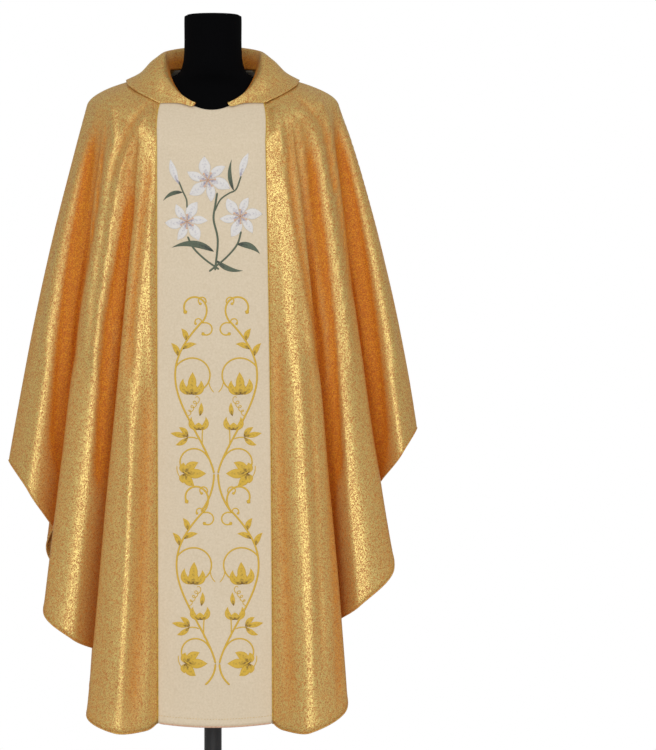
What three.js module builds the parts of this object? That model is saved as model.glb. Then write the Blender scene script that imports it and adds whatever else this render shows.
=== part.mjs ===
// Gothic chasuble on a dress form: a poncho-shaped vestment of gold cloth with a cream column down the
// front and the back and a rolled collar, resting on a limbless torso with a pole and a round base.
// Frame: millimetres, +Z up, the garment's front faces -Y, the wearer's right is -X, and the origin lies
// on the floor below the middle of the whole part.
//
// Every cloth piece is a wall between an outer surface and the same surface moved in by CLOTH. The outer
// surfaces share one family of threads: a thread starts on the neckline, curves over the shoulder to the
// knee line, where the cloth leaves the body, and falls straight from there to the hem. The folds are the
// in-and-out of the hem line, so they fan out from the knee line and are deepest at the bottom.
import * as THREE from 'three';

// Cloth
const CLOTH = 2; // wall of every cloth piece
const SEAM_GAP = 0.3; // kept between pieces that are sewn together
const SEAM_ANGLE = 60; // degrees round the neck from the front middle to the column's seam

// Neckline
const NECK_HALF_WIDTH = 88;
const NECK_FRONT_REACH = 95;
const NECK_BACK_REACH = 75;
const NECK_FRONT_HEIGHT = 1403; // lowest point, at the front middle
const NECK_SIDE_HEIGHT = 1485; // where the shoulder seam starts
const NECK_BACK_HEIGHT = 1493;
const NECK_DIP = 1.3; // power of the cosine in its height: 1 is nearly a V, 2 is a wide U
const SHOULDER_PITCH = 15; // degrees that the cloth dips where it leaves the neckline, at the side
const CHEST_PITCH = 45; // the same at the front and back middle, more than at the side by this much
const SIDE_LEAN = 0.2; // outward lean of the falling cloth below the shoulder tip
const KNEE_SWING = 0.6; // how roundly the cloth bends into its fall at the knee line

// Stand
const POLE_RADIUS = 17;
const POLE_SIDES = 24;
const BASE_RADIUS = 215;
const BASE_SIDES = 48;
const BASE_RIM = 12; // height of the base's upright rim
const BASE_BEVEL_WIDTH = 6; // of the bevel above the rim
const BASE_BEVEL_HEIGHT = 4;
const BASE_FLAT = 70; // radius of the flat middle of the base's top
const BASE_HEIGHT = 26;
const JOINT_GAP = 0.3; // between base, pole and torso

// Grid of the cloth pieces
const PANEL_COLUMNS = 8;
const SIDE_COLUMNS = 40;
const CAPE_ROWS = 6; // from the neckline to the knee line
const FALL_ROWS = 7; // from the knee line to the hem
const COLLAR_COLUMNS = 48;
const COLLAR_ROWS = 9;

// The knee line: where the cloth leaves the chest, the shoulder tip and the back. The angle runs round
// the neck from the front middle (0) by the wearer's right shoulder seam (90) to the back middle (180).
const KNEE = [
  { angle: 0, x: 0, y: -134, z: 1328 },
  { angle: 30, x: -53, y: -132, z: 1331 },
  { angle: 60, x: -105, y: -127, z: 1338 },
  { angle: 67.5, x: -138, y: -121, z: 1366 },
  { angle: 78, x: -209, y: -74, z: 1400 },
  { angle: 87, x: -243, y: -22, z: 1414 },
  { angle: 90, x: -246, y: 0, z: 1416 },
  { angle: 93, x: -243, y: 22, z: 1416 },
  { angle: 102, x: -206, y: 68, z: 1411 },
  { angle: 112.5, x: -138, y: 104, z: 1406 },
  { angle: 120, x: -105, y: 112, z: 1403 },
  { angle: 150, x: -53, y: 117, z: 1401 },
  { angle: 180, x: 0, y: 118, z: 1400 },
];

// The hem of each side piece, a row for each fold line from the column's seam to the shoulder seam.
// `start` is where the fold line leaves the knee line (0 at the column, 1 at the shoulder tip), x, y and z
// are its end on the hem, and `bow` is how far the thread swings outward half-way down.
const FRONT_RIGHT_HEM = [
  { fold: 'seam', start: 0, x: -101, y: -150, z: 226, bow: 0 },
  { fold: 'lap', start: 0.05, x: -123, y: -172, z: 214, bow: 0 },
  { fold: 'ridge 3', start: 0.12, x: -182, y: -196, z: 211, bow: 0 },
  { fold: 'edge 3', start: 0.22, x: -238, y: -158, z: 242, bow: 0 },
  { fold: 'valley 2', start: 0.28, x: -197, y: -55, z: 342, bow: 0 },
  { fold: 'ridge 2', start: 0.42, x: -266, y: -122, z: 385, bow: 2 },
  { fold: 'edge 2', start: 0.56, x: -324, y: -98, z: 436, bow: 2 },
  { fold: 'valley 1', start: 0.63, x: -288, y: -12, z: 545, bow: 4 },
  { fold: 'ridge 1', start: 0.8, x: -352, y: -60, z: 662, bow: 8 },
  { fold: 'edge 1', start: 0.93, x: -396, y: -18, z: 724, bow: 10 },
  { fold: 'side', start: 1, x: -393, y: 16, z: 727, bow: 10 },
];
const FRONT_LEFT_HEM = [
  { fold: 'seam', start: 0, x: 118, y: -150, z: 226, bow: 3 },
  { fold: 'lap', start: 0.08, x: 138, y: -170, z: 215, bow: 4 },
  { fold: 'ridge 3', start: 0.2, x: 192, y: -196, z: 212, bow: 6 },
  { fold: 'edge 3', start: 0.32, x: 261, y: -152, z: 258, bow: 10 },
  { fold: 'valley 2', start: 0.38, x: 220, y: -54, z: 392, bow: 4 },
  { fold: 'ridge 2', start: 0.58, x: 284, y: -120, z: 448, bow: 0 },
  { fold: 'edge 2', start: 0.75, x: 352, y: -90, z: 520, bow: -8 },
  { fold: 'valley 1', start: 0.81, x: 312, y: -8, z: 652, bow: 0 },
  { fold: 'ridge 1', start: 0.9, x: 366, y: -55, z: 738, bow: 12 },
  { fold: 'edge 1', start: 0.97, x: 397, y: -16, z: 787, bow: 15 },
  { fold: 'side', start: 1, x: 394, y: 18, z: 791, bow: 15 },
];
const BACK_RIGHT_HEM = [
  { fold: 'seam', start: 0, x: -111, y: 128, z: 202, bow: 2 },
  { fold: 'lap', start: 0.06, x: -132, y: 148, z: 199, bow: 2 },
  { fold: 'ridge 3', start: 0.14, x: -180, y: 170, z: 199, bow: 4 },
  { fold: 'edge 3', start: 0.25, x: -248, y: 140, z: 266, bow: 8 },
  { fold: 'valley 2', start: 0.31, x: -205, y: 48, z: 398, bow: 4 },
  { fold: 'ridge 2', start: 0.46, x: -268, y: 106, z: 459, bow: 4 },
  { fold: 'edge 2', start: 0.62, x: -331, y: 84, z: 547, bow: 4 },
  { fold: 'valley 1', start: 0.68, x: -296, y: 14, z: 640, bow: 4 },
  { fold: 'ridge 1', start: 0.84, x: -350, y: 60, z: 700, bow: 8 },
  { fold: 'side', start: 1, x: -393, y: 16, z: 727, bow: 10 },
];
const BACK_LEFT_HEM = [
  { fold: 'seam', start: 0, x: 111, y: 128, z: 202, bow: 2 },
  { fold: 'lap', start: 0.08, x: 136, y: 150, z: 198, bow: 2 },
  { fold: 'ridge 3', start: 0.18, x: 186, y: 168, z: 200, bow: 4 },
  { fold: 'edge 3', start: 0.3, x: 254, y: 136, z: 262, bow: 6 },
  { fold: 'valley 2', start: 0.36, x: 212, y: 44, z: 388, bow: 4 },
  { fold: 'ridge 2', start: 0.54, x: 280, y: 108, z: 452, bow: 4 },
  { fold: 'edge 2', start: 0.7, x: 342, y: 80, z: 560, bow: 4 },
  { fold: 'valley 1', start: 0.76, x: 306, y: 12, z: 662, bow: 4 },
  { fold: 'ridge 1', start: 0.88, x: 358, y: 58, z: 752, bow: 12 },
  { fold: 'side', start: 1, x: 394, y: 18, z: 791, bow: 15 },
];

// The hem of each column at its middle; its corners are the first rows of the side pieces' hems.
const FRONT_HEM_MIDDLE = { y: -160, z: 219 };
const BACK_HEM_MIDDLE = { y: 134, z: 198 };

// The collar, round the neck from its front end: how high it stands above the neckline, how far out the
// roll lies, how much of the way from the neckline to the knee line the fall covers, and how far the fall
// is lifted off a straight slope at its two COLLAR_FALL_SHARES.
const COLLAR = [
  { angle: 20, stand: 8, out: 3, fall: 0.07, upper: 0.5, lower: 0.5 },
  { angle: 30, stand: 8, out: 5, fall: 0.09, upper: 0.5, lower: 0.5 },
  { angle: 40, stand: 9, out: 7, fall: 0.15, upper: 1, lower: 0 },
  { angle: 50, stand: 10, out: 8, fall: 0.25, upper: 1.5, lower: -0.5 },
  { angle: 60, stand: 13, out: 9, fall: 0.36, upper: 2, lower: -1 },
  { angle: 70, stand: 18, out: 10, fall: 0.45, upper: 3, lower: -2 },
  { angle: 80, stand: 25, out: 8, fall: 0.45, upper: 3.5, lower: -3 },
  { angle: 90, stand: 32, out: 7, fall: 0.41, upper: 3.5, lower: -3 },
  { angle: 105, stand: 37, out: 11, fall: 0.45, upper: 4, lower: 0 },
  { angle: 120, stand: 40, out: 13, fall: 0.54, upper: 4, lower: 3 },
  { angle: 150, stand: 45, out: 14, fall: 0.7, upper: 4, lower: 4.5 },
  { angle: 180, stand: 46, out: 14, fall: 0.93, upper: 4, lower: 4.5 },
];
const COLLAR_INSET = 5; // of the collar's foot inside the neckline
const COLLAR_FOOT = 2; // height of the collar's foot above the neckline
const COLLAR_LIFT = 4; // of the fall's edge above the cloth it lies on, to its visible side
const COLLAR_FALL_SHARES = { upper: 0.3, lower: 0.65 }; // places between roll and edge
// The waist of the stand, between foot and roll, as shares of the roll's height and reach.
const COLLAR_WAIST = { height: 0.6, reach: 0.3, inset: 1 };

// Sections of the torso from the top of the neck down: half-width, front and back reach.
const TORSO = [
  { z: 1594, wide: 50, front: 50, back: 50 },
  { z: 1591, wide: 54, front: 54, back: 54 },
  { z: 1585, wide: 56, front: 56, back: 56 },
  { z: 1530, wide: 56, front: 56, back: 57 },
  { z: 1498, wide: 59, front: 58, back: 61 },
  { z: 1478, wide: 70, front: 54, back: 64 },
  { z: 1462, wide: 104, front: 46, back: 70 },
  { z: 1446, wide: 160, front: 46, back: 77 },
  { z: 1428, wide: 204, front: 60, back: 84 },
  { z: 1402, wide: 226, front: 82, back: 94 },
  { z: 1370, wide: 228, front: 98, back: 100 },
  { z: 1330, wide: 222, front: 112, back: 101 },
  { z: 1260, wide: 204, front: 118, back: 98 },
  { z: 1160, wide: 176, front: 108, back: 90 },
  { z: 1060, wide: 158, front: 96, back: 86 },
  { z: 960, wide: 164, front: 98, back: 92 },
  { z: 880, wide: 174, front: 102, back: 98 },
  { z: 838, wide: 172, front: 100, back: 96 },
  { z: 830, wide: 164, front: 92, back: 88 },
];
const TORSO_SIDES = 36;

const radians = THREE.MathUtils.degToRad;
const up = new THREE.Vector3(0, 0, 1);

// Value of one column of a table at `t`, on a smooth curve through the rows, which are sorted by `key`.
function column(rows, key, name, t) {
  const last = rows.length - 1;
  let i = 0;
  while (i < last - 1 && t > rows[i + 1][key]) i += 1;
  const slope = (j) => {
    const a = rows[Math.max(j - 1, 0)];
    const b = rows[Math.min(j + 1, last)];
    return (b[name] - a[name]) / (b[key] - a[key]);
  };
  const step = rows[i + 1][key] - rows[i][key];
  const s = THREE.MathUtils.clamp((t - rows[i][key]) / step, 0, 1);
  const rise = s * s * (3 - 2 * s);
  const leave = s * (1 - s) * (1 - s) * step * slope(i);
  const arrive = s * s * (s - 1) * step * slope(i + 1);
  return rows[i][name] * (1 - rise) + rows[i + 1][name] * rise + leave + arrive;
}

function tablePoint(rows, key, t) {
  return new THREE.Vector3(...['x', 'y', 'z'].map((name) => column(rows, key, name, t)));
}

// Cubic curve from a to b with the given velocities at its ends.
function hermite(a, velocityA, b, velocityB, t) {
  const rise = t * t * (3 - 2 * t);
  return a.clone().multiplyScalar(1 - rise)
    .addScaledVector(b, rise)
    .addScaledVector(velocityA, t * (1 - t) * (1 - t))
    .addScaledVector(velocityB, t * t * (t - 1));
}

// Angles past the back middle are the wearer's left half, the mirror image of the right one.
function mirrored(angle, pointAt) {
  if (angle <= 180) return pointAt(angle);
  const point = pointAt(360 - angle);
  point.x = -point.x;
  return point;
}

function neckline(angle) {
  return mirrored(angle, (a) => {
    const sine = Math.sin(radians(a));
    const cosine = Math.cos(radians(a));
    const inFront = a < 90;
    const reach = inFront ? NECK_FRONT_REACH : NECK_BACK_REACH;
    const middleHeight = inFront ? NECK_FRONT_HEIGHT : NECK_BACK_HEIGHT;
    const dip = Math.abs(cosine) ** NECK_DIP;
    const z = NECK_SIDE_HEIGHT + (middleHeight - NECK_SIDE_HEIGHT) * dip;
    return new THREE.Vector3(-NECK_HALF_WIDTH * sine, -reach * cosine, z);
  });
}

function outward(angle) {
  return new THREE.Vector3(-Math.sin(radians(angle)), -Math.cos(radians(angle)), 0);
}

// The stretch of a thread that lies on the shoulders: t runs from the neckline (0) to the knee line (1).
function cape(angle, t) {
  return mirrored(angle, (a) => {
    const start = neckline(a);
    const knee = tablePoint(KNEE, 'angle', a);
    const reach = start.distanceTo(knee);
    const pitch = radians(SHOULDER_PITCH + CHEST_PITCH * Math.cos(radians(a)) ** 2);
    const leave = outward(a).multiplyScalar(Math.cos(pitch)).addScaledVector(up, -Math.sin(pitch));
    const sideShare = Math.max(0, 1 - Math.abs(a - 90) / (90 - SEAM_ANGLE));
    const arrive = new THREE.Vector3(-SIDE_LEAN * sideShare, 0, -1).normalize();
    return hermite(start, leave.multiplyScalar(reach), knee, arrive.multiplyScalar(KNEE_SWING * reach), t);
  });
}

// A whole thread: v runs from the neckline (-1) by the knee line (0) to its end on the hem (1).
function thread(angle, hemPoint, bow, v) {
  if (v <= 0) return cape(angle, 1 + v);
  const swing = 4 * v * (1 - v) * bow * Math.sign(hemPoint.x);
  const point = cape(angle, 1).lerp(hemPoint, v);
  point.x += swing;
  return point;
}

const THREAD_STEPS = [
  ...Array.from({ length: CAPE_ROWS }, (_, j) => j / CAPE_ROWS - 1),
  ...Array.from({ length: FALL_ROWS + 1 }, (_, j) => j / FALL_ROWS),
];

// Closed wall between a grid of outer points and a grid of as many inner ones. Seen from outside, the
// columns run to the left, as the angle round the neck grows, and the rows run down.
function wallBetween(outer, inner) {
  const columns = outer.length;
  const rows = outer[0].length;
  const positions = [...outer.flat(), ...inner.flat()].flatMap((p) => [p.x, p.y, p.z]);
  const offset = columns * rows;
  const id = (i, j, side) => side * offset + i * rows + j;
  const triangles = [];
  const quad = (a, b, c, d) => triangles.push(a, c, b, a, d, c);
  for (let i = 0; i < columns - 1; i += 1) {
    for (let j = 0; j < rows - 1; j += 1) {
      quad(id(i, j, 0), id(i, j + 1, 0), id(i + 1, j + 1, 0), id(i + 1, j, 0));
      quad(id(i, j, 1), id(i + 1, j, 1), id(i + 1, j + 1, 1), id(i, j + 1, 1));
    }
    quad(id(i, 0, 0), id(i + 1, 0, 0), id(i + 1, 0, 1), id(i, 0, 1));
    quad(id(i, rows - 1, 0), id(i, rows - 1, 1), id(i + 1, rows - 1, 1), id(i + 1, rows - 1, 0));
  }
  for (let j = 0; j < rows - 1; j += 1) {
    const i = columns - 1;
    quad(id(0, j, 0), id(0, j, 1), id(0, j + 1, 1), id(0, j + 1, 0));
    quad(id(i, j, 0), id(i, j + 1, 0), id(i, j + 1, 1), id(i, j, 1));
  }
  const geometry = new THREE.BufferGeometry();
  geometry.setAttribute('position', new THREE.Float32BufferAttribute(positions, 3));
  geometry.setIndex(triangles);
  geometry.computeVertexNormals();
  return geometry;
}

// Cloth wall behind a grid of outer points. `before` and `after` are the columns of the neighbours next
// to the seams, so that two pieces have the same normal, and so the same slant, along their seam.
function clothWall(outer, before = outer[0], after = outer.at(-1)) {
  const columns = [before, ...outer, after];
  const rows = outer[0].length;
  const inner = outer.map((line, i) => line.map((point, j) => {
    const across = columns[i + 2][j].clone().sub(columns[i][j]);
    const down = line[Math.min(j + 1, rows - 1)].clone().sub(line[Math.max(j - 1, 0)]);
    return point.clone().addScaledVector(across.cross(down).normalize(), -CLOTH);
  }));
  return wallBetween(outer, inner);
}

// Adds to each hem row its place along the hem, 0 at the column's seam and 1 at the shoulder seam.
function measuredHem(rows) {
  let length = 0;
  const measured = rows.map((row, i) => {
    const before = rows[Math.max(i - 1, 0)];
    length += Math.hypot(row.x - before.x, row.y - before.y, row.z - before.z);
    return { ...row, along: length };
  });
  return measured.map((row) => ({ ...row, along: row.along / length }));
}

// Outer points of one gold side piece, from the column's seam to the shoulder seam. The two seams are
// given by their angles round the neck.
function sideGrid(hemRows, seamAngle, shoulderAngle) {
  const hem = measuredHem(hemRows);
  return Array.from({ length: SIDE_COLUMNS + 1 }, (_, i) => {
    const along = i / SIDE_COLUMNS;
    const start = column(hem, 'along', 'start', along);
    const angle = seamAngle + (shoulderAngle - seamAngle) * start;
    const hemPoint = tablePoint(hem, 'along', along);
    const bow = column(hem, 'along', 'bow', along);
    return THREAD_STEPS.map((v) => thread(angle, hemPoint, bow, v));
  });
}

// Outer points of one cream column, from the seam at `firstAngle` to the one at `lastAngle`. The corners
// of its hem are the hem rows at those seams, and `middle` is its hem between them.
function columnGrid(firstAngle, lastAngle, firstCorner, lastCorner, middle) {
  return Array.from({ length: PANEL_COLUMNS + 1 }, (_, i) => {
    const share = i / PANEL_COLUMNS;
    const mix = (name) => THREE.MathUtils.lerp(firstCorner[name], lastCorner[name], share);
    const belly = 4 * share * (1 - share);
    const hemPoint = new THREE.Vector3(
      mix('x'),
      THREE.MathUtils.lerp(mix('y'), middle.y, belly),
      THREE.MathUtils.lerp(mix('z'), middle.z, belly),
    );
    const angle = (firstAngle + (lastAngle - firstAngle) * share + 360) % 360;
    const bow = mix('bow') * Math.abs(2 * share - 1);
    return THREAD_STEPS.map((v) => thread(angle, hemPoint, bow, v));
  });
}

// The same grid with its first and last columns drawn in by half the seam's gap, along the cloth.
function trimmed(grid) {
  const drawnIn = (edge, inside) => edge.map((point, j) => {
    const step = inside[j].clone().sub(point);
    return point.clone().addScaledVector(step.normalize(), SEAM_GAP / 2);
  });
  return [drawnIn(grid[0], grid[1]), ...grid.slice(1, -1), drawnIn(grid.at(-1), grid.at(-2))];
}

// The collar's section at one angle, on its visible side: up from the neckline, over the roll, and down
// a slope that curves a little, to the fall's edge on the cloth.
function collarSection(angle) {
  const tableAngle = angle <= 180 ? angle : 360 - angle;
  const [stand, out, fall, upper, lower] = ['stand', 'out', 'fall', 'upper', 'lower']
    .map((name) => column(COLLAR, 'angle', name, tableAngle));
  const away = (reach, height) => neckline(angle)
    .addScaledVector(outward(angle), reach)
    .addScaledVector(up, height);
  const nudge = 0.01;
  const down = cape(angle, fall + nudge).sub(cape(angle, fall - nudge));
  const across = cape(angle + 1, fall).sub(cape(angle - 1, fall));
  const lifted = across.cross(down).normalize();
  const roll = away(out, stand);
  const edge = cape(angle, fall).addScaledVector(lifted, COLLAR_LIFT);
  const onFall = (share, lift) => roll.clone().lerp(edge, share).addScaledVector(lifted, lift);
  const curve = new THREE.CatmullRomCurve3([
    away(-COLLAR_INSET, COLLAR_FOOT),
    away(COLLAR_WAIST.reach * out - COLLAR_WAIST.inset, COLLAR_WAIST.height * stand),
    roll,
    onFall(COLLAR_FALL_SHARES.upper, upper),
    onFall(COLLAR_FALL_SHARES.lower, lower),
    edge,
  ]);
  return Array.from({ length: COLLAR_ROWS + 1 }, (_, j) => curve.getPoint(j / COLLAR_ROWS));
}

function collar() {
  const first = COLLAR[0].angle;
  const grid = [];
  for (let i = 0; i <= COLLAR_COLUMNS; i += 1) {
    grid.push(collarSection(first + (360 - 2 * first) * (i / COLLAR_COLUMNS)));
  }
  return clothWall(grid);
}

// The torso: a stack of oval sections, closed flat at the neck and at the waist's bottom.
function torso() {
  const positions = [];
  const triangles = [];
  for (const { z, wide, front, back } of TORSO) {
    for (let i = 0; i < TORSO_SIDES; i += 1) {
      const turn = (2 * Math.PI * i) / TORSO_SIDES;
      const reach = Math.sin(turn) < 0 ? front : back;
      positions.push(wide * Math.cos(turn), reach * Math.sin(turn), z);
    }
  }
  const rings = TORSO.length;
  const id = (ring, i) => ring * TORSO_SIDES + (i % TORSO_SIDES);
  for (let ring = 0; ring < rings - 1; ring += 1) {
    for (let i = 0; i < TORSO_SIDES; i += 1) {
      triangles.push(id(ring, i), id(ring + 1, i), id(ring + 1, i + 1));
      triangles.push(id(ring, i), id(ring + 1, i + 1), id(ring, i + 1));
    }
  }
  for (let i = 1; i < TORSO_SIDES - 1; i += 1) {
    triangles.push(id(0, 0), id(0, i), id(0, i + 1));
    triangles.push(id(rings - 1, 0), id(rings - 1, i + 1), id(rings - 1, i));
  }
  const geometry = new THREE.BufferGeometry();
  geometry.setAttribute('position', new THREE.Float32BufferAttribute(positions, 3));
  geometry.setIndex(triangles);
  geometry.computeVertexNormals();
  return geometry;
}

// Turned piece from a profile of [radius, height] pairs.
function turned(profile, sides) {
  const geometry = new THREE.LatheGeometry(profile.map(([r, z]) => new THREE.Vector2(r, z)), sides);
  return geometry.rotateX(Math.PI / 2);
}

const gold = { color: 0xc9a04c, roughness: 0.38, metalness: 0.7 };
const cream = { color: 0xded0b4, roughness: 0.85, metalness: 0 };
const black = { color: 0x17171a, roughness: 0.75, metalness: 0 };
const blackSteel = { color: 0x232326, roughness: 0.4, metalness: 0.6 };

const chasuble = new THREE.Group();

function addPiece(name, geometry, look) {
  const mesh = new THREE.Mesh(geometry, new THREE.MeshStandardMaterial(look));
  mesh.name = name;
  chasuble.add(mesh);
}

// The six pieces of the body in their order round the neck, from the wearer's left of the front middle.
const backSeam = 180 - SEAM_ANGLE;
const frontCorners = [FRONT_LEFT_HEM[0], FRONT_RIGHT_HEM[0]];
const backCorners = [BACK_RIGHT_HEM[0], BACK_LEFT_HEM[0]];
const frontColumn = columnGrid(-SEAM_ANGLE, SEAM_ANGLE, ...frontCorners, FRONT_HEM_MIDDLE);
const backColumn = columnGrid(backSeam, 360 - backSeam, ...backCorners, BACK_HEM_MIDDLE);
const body = [
  { name: 'front_panel', look: cream, grid: frontColumn },
  { name: 'front_right', look: gold, grid: sideGrid(FRONT_RIGHT_HEM, SEAM_ANGLE, 90) },
  { name: 'back_right', look: gold, grid: sideGrid(BACK_RIGHT_HEM, backSeam, 90).reverse() },
  { name: 'back_panel', look: cream, grid: backColumn },
  { name: 'back_left', look: gold, grid: sideGrid(BACK_LEFT_HEM, 360 - backSeam, 270) },
  { name: 'front_left', look: gold, grid: sideGrid(FRONT_LEFT_HEM, 360 - SEAM_ANGLE, 270).reverse() },
];
body.forEach(({ name, look, grid }, i) => {
  const before = body.at(i - 1).grid.at(-2);
  const after = body[(i + 1) % body.length].grid[1];
  addPiece(name, clothWall(trimmed(grid), before, after), look);
});
addPiece('collar', collar(), gold);
addPiece('form_torso', torso(), black);

const poleFoot = BASE_HEIGHT + JOINT_GAP;
const poleTop = TORSO.at(-1).z - JOINT_GAP;
addPiece('stand_pole', turned([
  [0, poleFoot],
  [POLE_RADIUS, poleFoot],
  [POLE_RADIUS, poleTop],
  [0, poleTop],
], POLE_SIDES), blackSteel);
addPiece('stand_base', turned([
  [0, 0],
  [BASE_RADIUS, 0],
  [BASE_RADIUS, BASE_RIM],
  [BASE_RADIUS - BASE_BEVEL_WIDTH, BASE_RIM + BASE_BEVEL_HEIGHT],
  [BASE_FLAT, BASE_HEIGHT],
  [0, BASE_HEIGHT],
], BASE_SIDES), blackSteel);

export default chasuble;
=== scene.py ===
# %% [markdown]
# # A gothic chasuble on a dress form
#
# A chasuble is the poncho that a priest wears over everything else. This one is gold lame with a cream
# column down its front and back, a rolled collar and embroidered vines. It hangs from the shoulders of
# a black dress form, so nearly all of its shape is folds. The solids in the frame have those folds
# already. Here the same threads are worked out again, closer together, and get what sewing adds.

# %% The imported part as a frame
import math

import bmesh
import bpy
import numpy as np
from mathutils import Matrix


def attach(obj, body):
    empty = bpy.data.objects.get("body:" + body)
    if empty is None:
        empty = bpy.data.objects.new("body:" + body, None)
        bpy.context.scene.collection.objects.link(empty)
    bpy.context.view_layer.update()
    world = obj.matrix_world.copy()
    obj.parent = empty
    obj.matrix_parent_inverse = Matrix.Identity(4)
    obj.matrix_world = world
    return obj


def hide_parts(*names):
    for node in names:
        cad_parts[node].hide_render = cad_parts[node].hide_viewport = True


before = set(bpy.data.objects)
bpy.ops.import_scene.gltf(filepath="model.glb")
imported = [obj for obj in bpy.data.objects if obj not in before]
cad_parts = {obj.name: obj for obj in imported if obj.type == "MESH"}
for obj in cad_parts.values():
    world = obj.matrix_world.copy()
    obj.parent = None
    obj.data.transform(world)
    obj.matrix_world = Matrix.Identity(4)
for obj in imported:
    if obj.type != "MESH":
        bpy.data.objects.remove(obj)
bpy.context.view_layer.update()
print("nodes:", sorted(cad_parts))

# %% [markdown]
# ## Numbers kept in tables
#
# Every table has named columns. A smooth curve through its rows gives the value between them, so a
# few rows are enough for a whole hem. The curve is a cubic between two rows, and its slope at a row is
# that of the line between the rows on either side.

# %% Tables and the curve through their rows
MM = 0.001  # everything below is in millimetres until it becomes a mesh


def table(names, *rows):
    """A dictionary with one array for each named column."""
    return dict(zip(names.split(), np.array(rows, float).T))


def curve(rows, key, name, t):
    """a (1 - r) + b r + step (leave s (1 - s)^2 + arrive s^2 (s - 1)), with r = s^2 (3 - 2s)."""
    k, v = rows[key], rows[name]
    t = np.asarray(t, float)
    i = np.clip(np.searchsorted(k, t, side="left") - 1, 0, len(k) - 2)
    order = np.arange(len(k))
    low = np.maximum(order - 1, 0)
    high = np.minimum(order + 1, len(k) - 1)
    slope = (v[high] - v[low]) / (k[high] - k[low])
    step = k[i + 1] - k[i]
    s = np.clip((t - k[i]) / step, 0, 1)
    r = s * s * (3 - 2 * s)
    swing = slope[i] * s * (1 - s) ** 2 + slope[i + 1] * s * s * (s - 1)
    return v[i] * (1 - r) + v[i + 1] * r + step * swing


def smooth(t):
    """0 below 0, 1 above 1, and 3t^2 - 2t^3 between."""
    t = np.clip(t, 0, 1)
    return t * t * (3 - 2 * t)


def unit(vectors):
    """Each vector divided by its length."""
    return vectors / np.maximum(np.linalg.norm(vectors, axis=-1, keepdims=True), 1e-12)


# %% [markdown]
# ## The cut and the fall of the cloth
#
# Cloth that hangs from the shoulders follows threads: each leaves the neckline, bends over the shoulder
# at the knee line, and falls straight to the hem. The angle runs round the neck from the front middle
# (0) by the wearer's right shoulder (90) to the back middle (180) and on. The hem tables say where each
# fold line ends, and `deep` says how far it lies in the shade between two ridges.

# %% Where the cloth leaves the body, and where it ends
FULL_TURN = 2 * math.pi
SEAM_ANGLE = 60  # degrees from the middle to a column's seam
NECK_HALF_WIDTH = 88  # mm, as the next two
NECK_REACH = {"front": 95, "back": 75}
NECK_HEIGHT = {"front": 1403, "side": 1485, "back": 1493}
NECK_DIP = 1.3  # power of the cosine that drops the neckline in front
SHOULDER_PITCH = 15  # degrees below level at which a thread leaves the neck at the side
CHEST_PITCH = 45  # degrees more in front and behind
SIDE_LEAN = 0.2  # how far the threads over the arm still lean outwards at the knee line
KNEE_SWING = 0.6  # speed at the knee line, as a share of the way there

# %% The knee line
KNEE = table(
    "angle x y z",
    (0, 0, -134, 1328),
    (30, -53, -132, 1331),
    (60, -105, -127, 1338),
    (67.5, -138, -121, 1366),
    (78, -209, -74, 1400),
    (87, -243, -22, 1414),
    (90, -246, 0, 1416),
    (93, -243, 22, 1416),
    (102, -206, 68, 1411),
    (112.5, -138, 104, 1406),
    (120, -105, 112, 1403),
    (150, -53, 117, 1401),
    (180, 0, 118, 1400),
)

# %% The hems
HEM_COLUMNS = "start x y z bow deep"
HEMS = {
    "front_right": table(
        HEM_COLUMNS,
        (0, -101, -150, 226, 0, 0.1),
        (0.05, -123, -172, 214, 0, 0),
        (0.12, -182, -196, 211, 0, 0),
        (0.22, -238, -158, 242, 0, 0.25),
        (0.28, -197, -55, 342, 0, 1),
        (0.42, -266, -122, 385, 2, 0),
        (0.56, -324, -98, 436, 2, 0.25),
        (0.63, -288, -12, 545, 4, 1),
        (0.8, -352, -60, 662, 8, 0),
        (0.93, -396, -18, 724, 10, 0.2),
        (1, -393, 16, 727, 10, 0.2),
    ),
    "front_left": table(
        HEM_COLUMNS,
        (0, 118, -150, 226, 3, 0.1),
        (0.08, 138, -170, 215, 4, 0),
        (0.2, 192, -196, 212, 6, 0),
        (0.32, 261, -152, 258, 10, 0.25),
        (0.38, 220, -54, 392, 4, 1),
        (0.58, 284, -120, 448, 0, 0),
        (0.75, 352, -90, 520, -8, 0.25),
        (0.81, 312, -8, 652, 0, 1),
        (0.9, 366, -55, 738, 12, 0),
        (0.97, 397, -16, 787, 15, 0.2),
        (1, 394, 18, 791, 15, 0.2),
    ),
    "back_right": table(
        HEM_COLUMNS,
        (0, -111, 128, 202, 2, 0.1),
        (0.06, -132, 148, 199, 2, 0),
        (0.14, -180, 170, 199, 4, 0),
        (0.25, -248, 140, 266, 8, 0.25),
        (0.31, -205, 48, 398, 4, 1),
        (0.46, -268, 106, 459, 4, 0),
        (0.62, -331, 84, 547, 4, 0.25),
        (0.68, -296, 14, 640, 4, 1),
        (0.84, -350, 60, 700, 8, 0),
        (1, -393, 16, 727, 10, 0.2),
    ),
    "back_left": table(
        HEM_COLUMNS,
        (0, 111, 128, 202, 2, 0.1),
        (0.08, 136, 150, 198, 2, 0),
        (0.18, 186, 168, 200, 4, 0),
        (0.3, 254, 136, 262, 6, 0.25),
        (0.36, 212, 44, 388, 4, 1),
        (0.54, 280, 108, 452, 4, 0),
        (0.7, 342, 80, 560, 4, 0.25),
        (0.76, 306, 12, 662, 4, 1),
        (0.88, 358, 58, 752, 12, 0),
        (1, 394, 18, 791, 15, 0.2),
    ),
}
for hem in HEMS.values():
    steps = np.hypot(np.hypot(np.diff(hem["x"]), np.diff(hem["y"])), np.diff(hem["z"]))
    hem["along"] = np.concatenate([[0], np.cumsum(steps)]) / steps.sum()
    print("hem of %.2f m" % (steps.sum() * MM))


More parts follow.
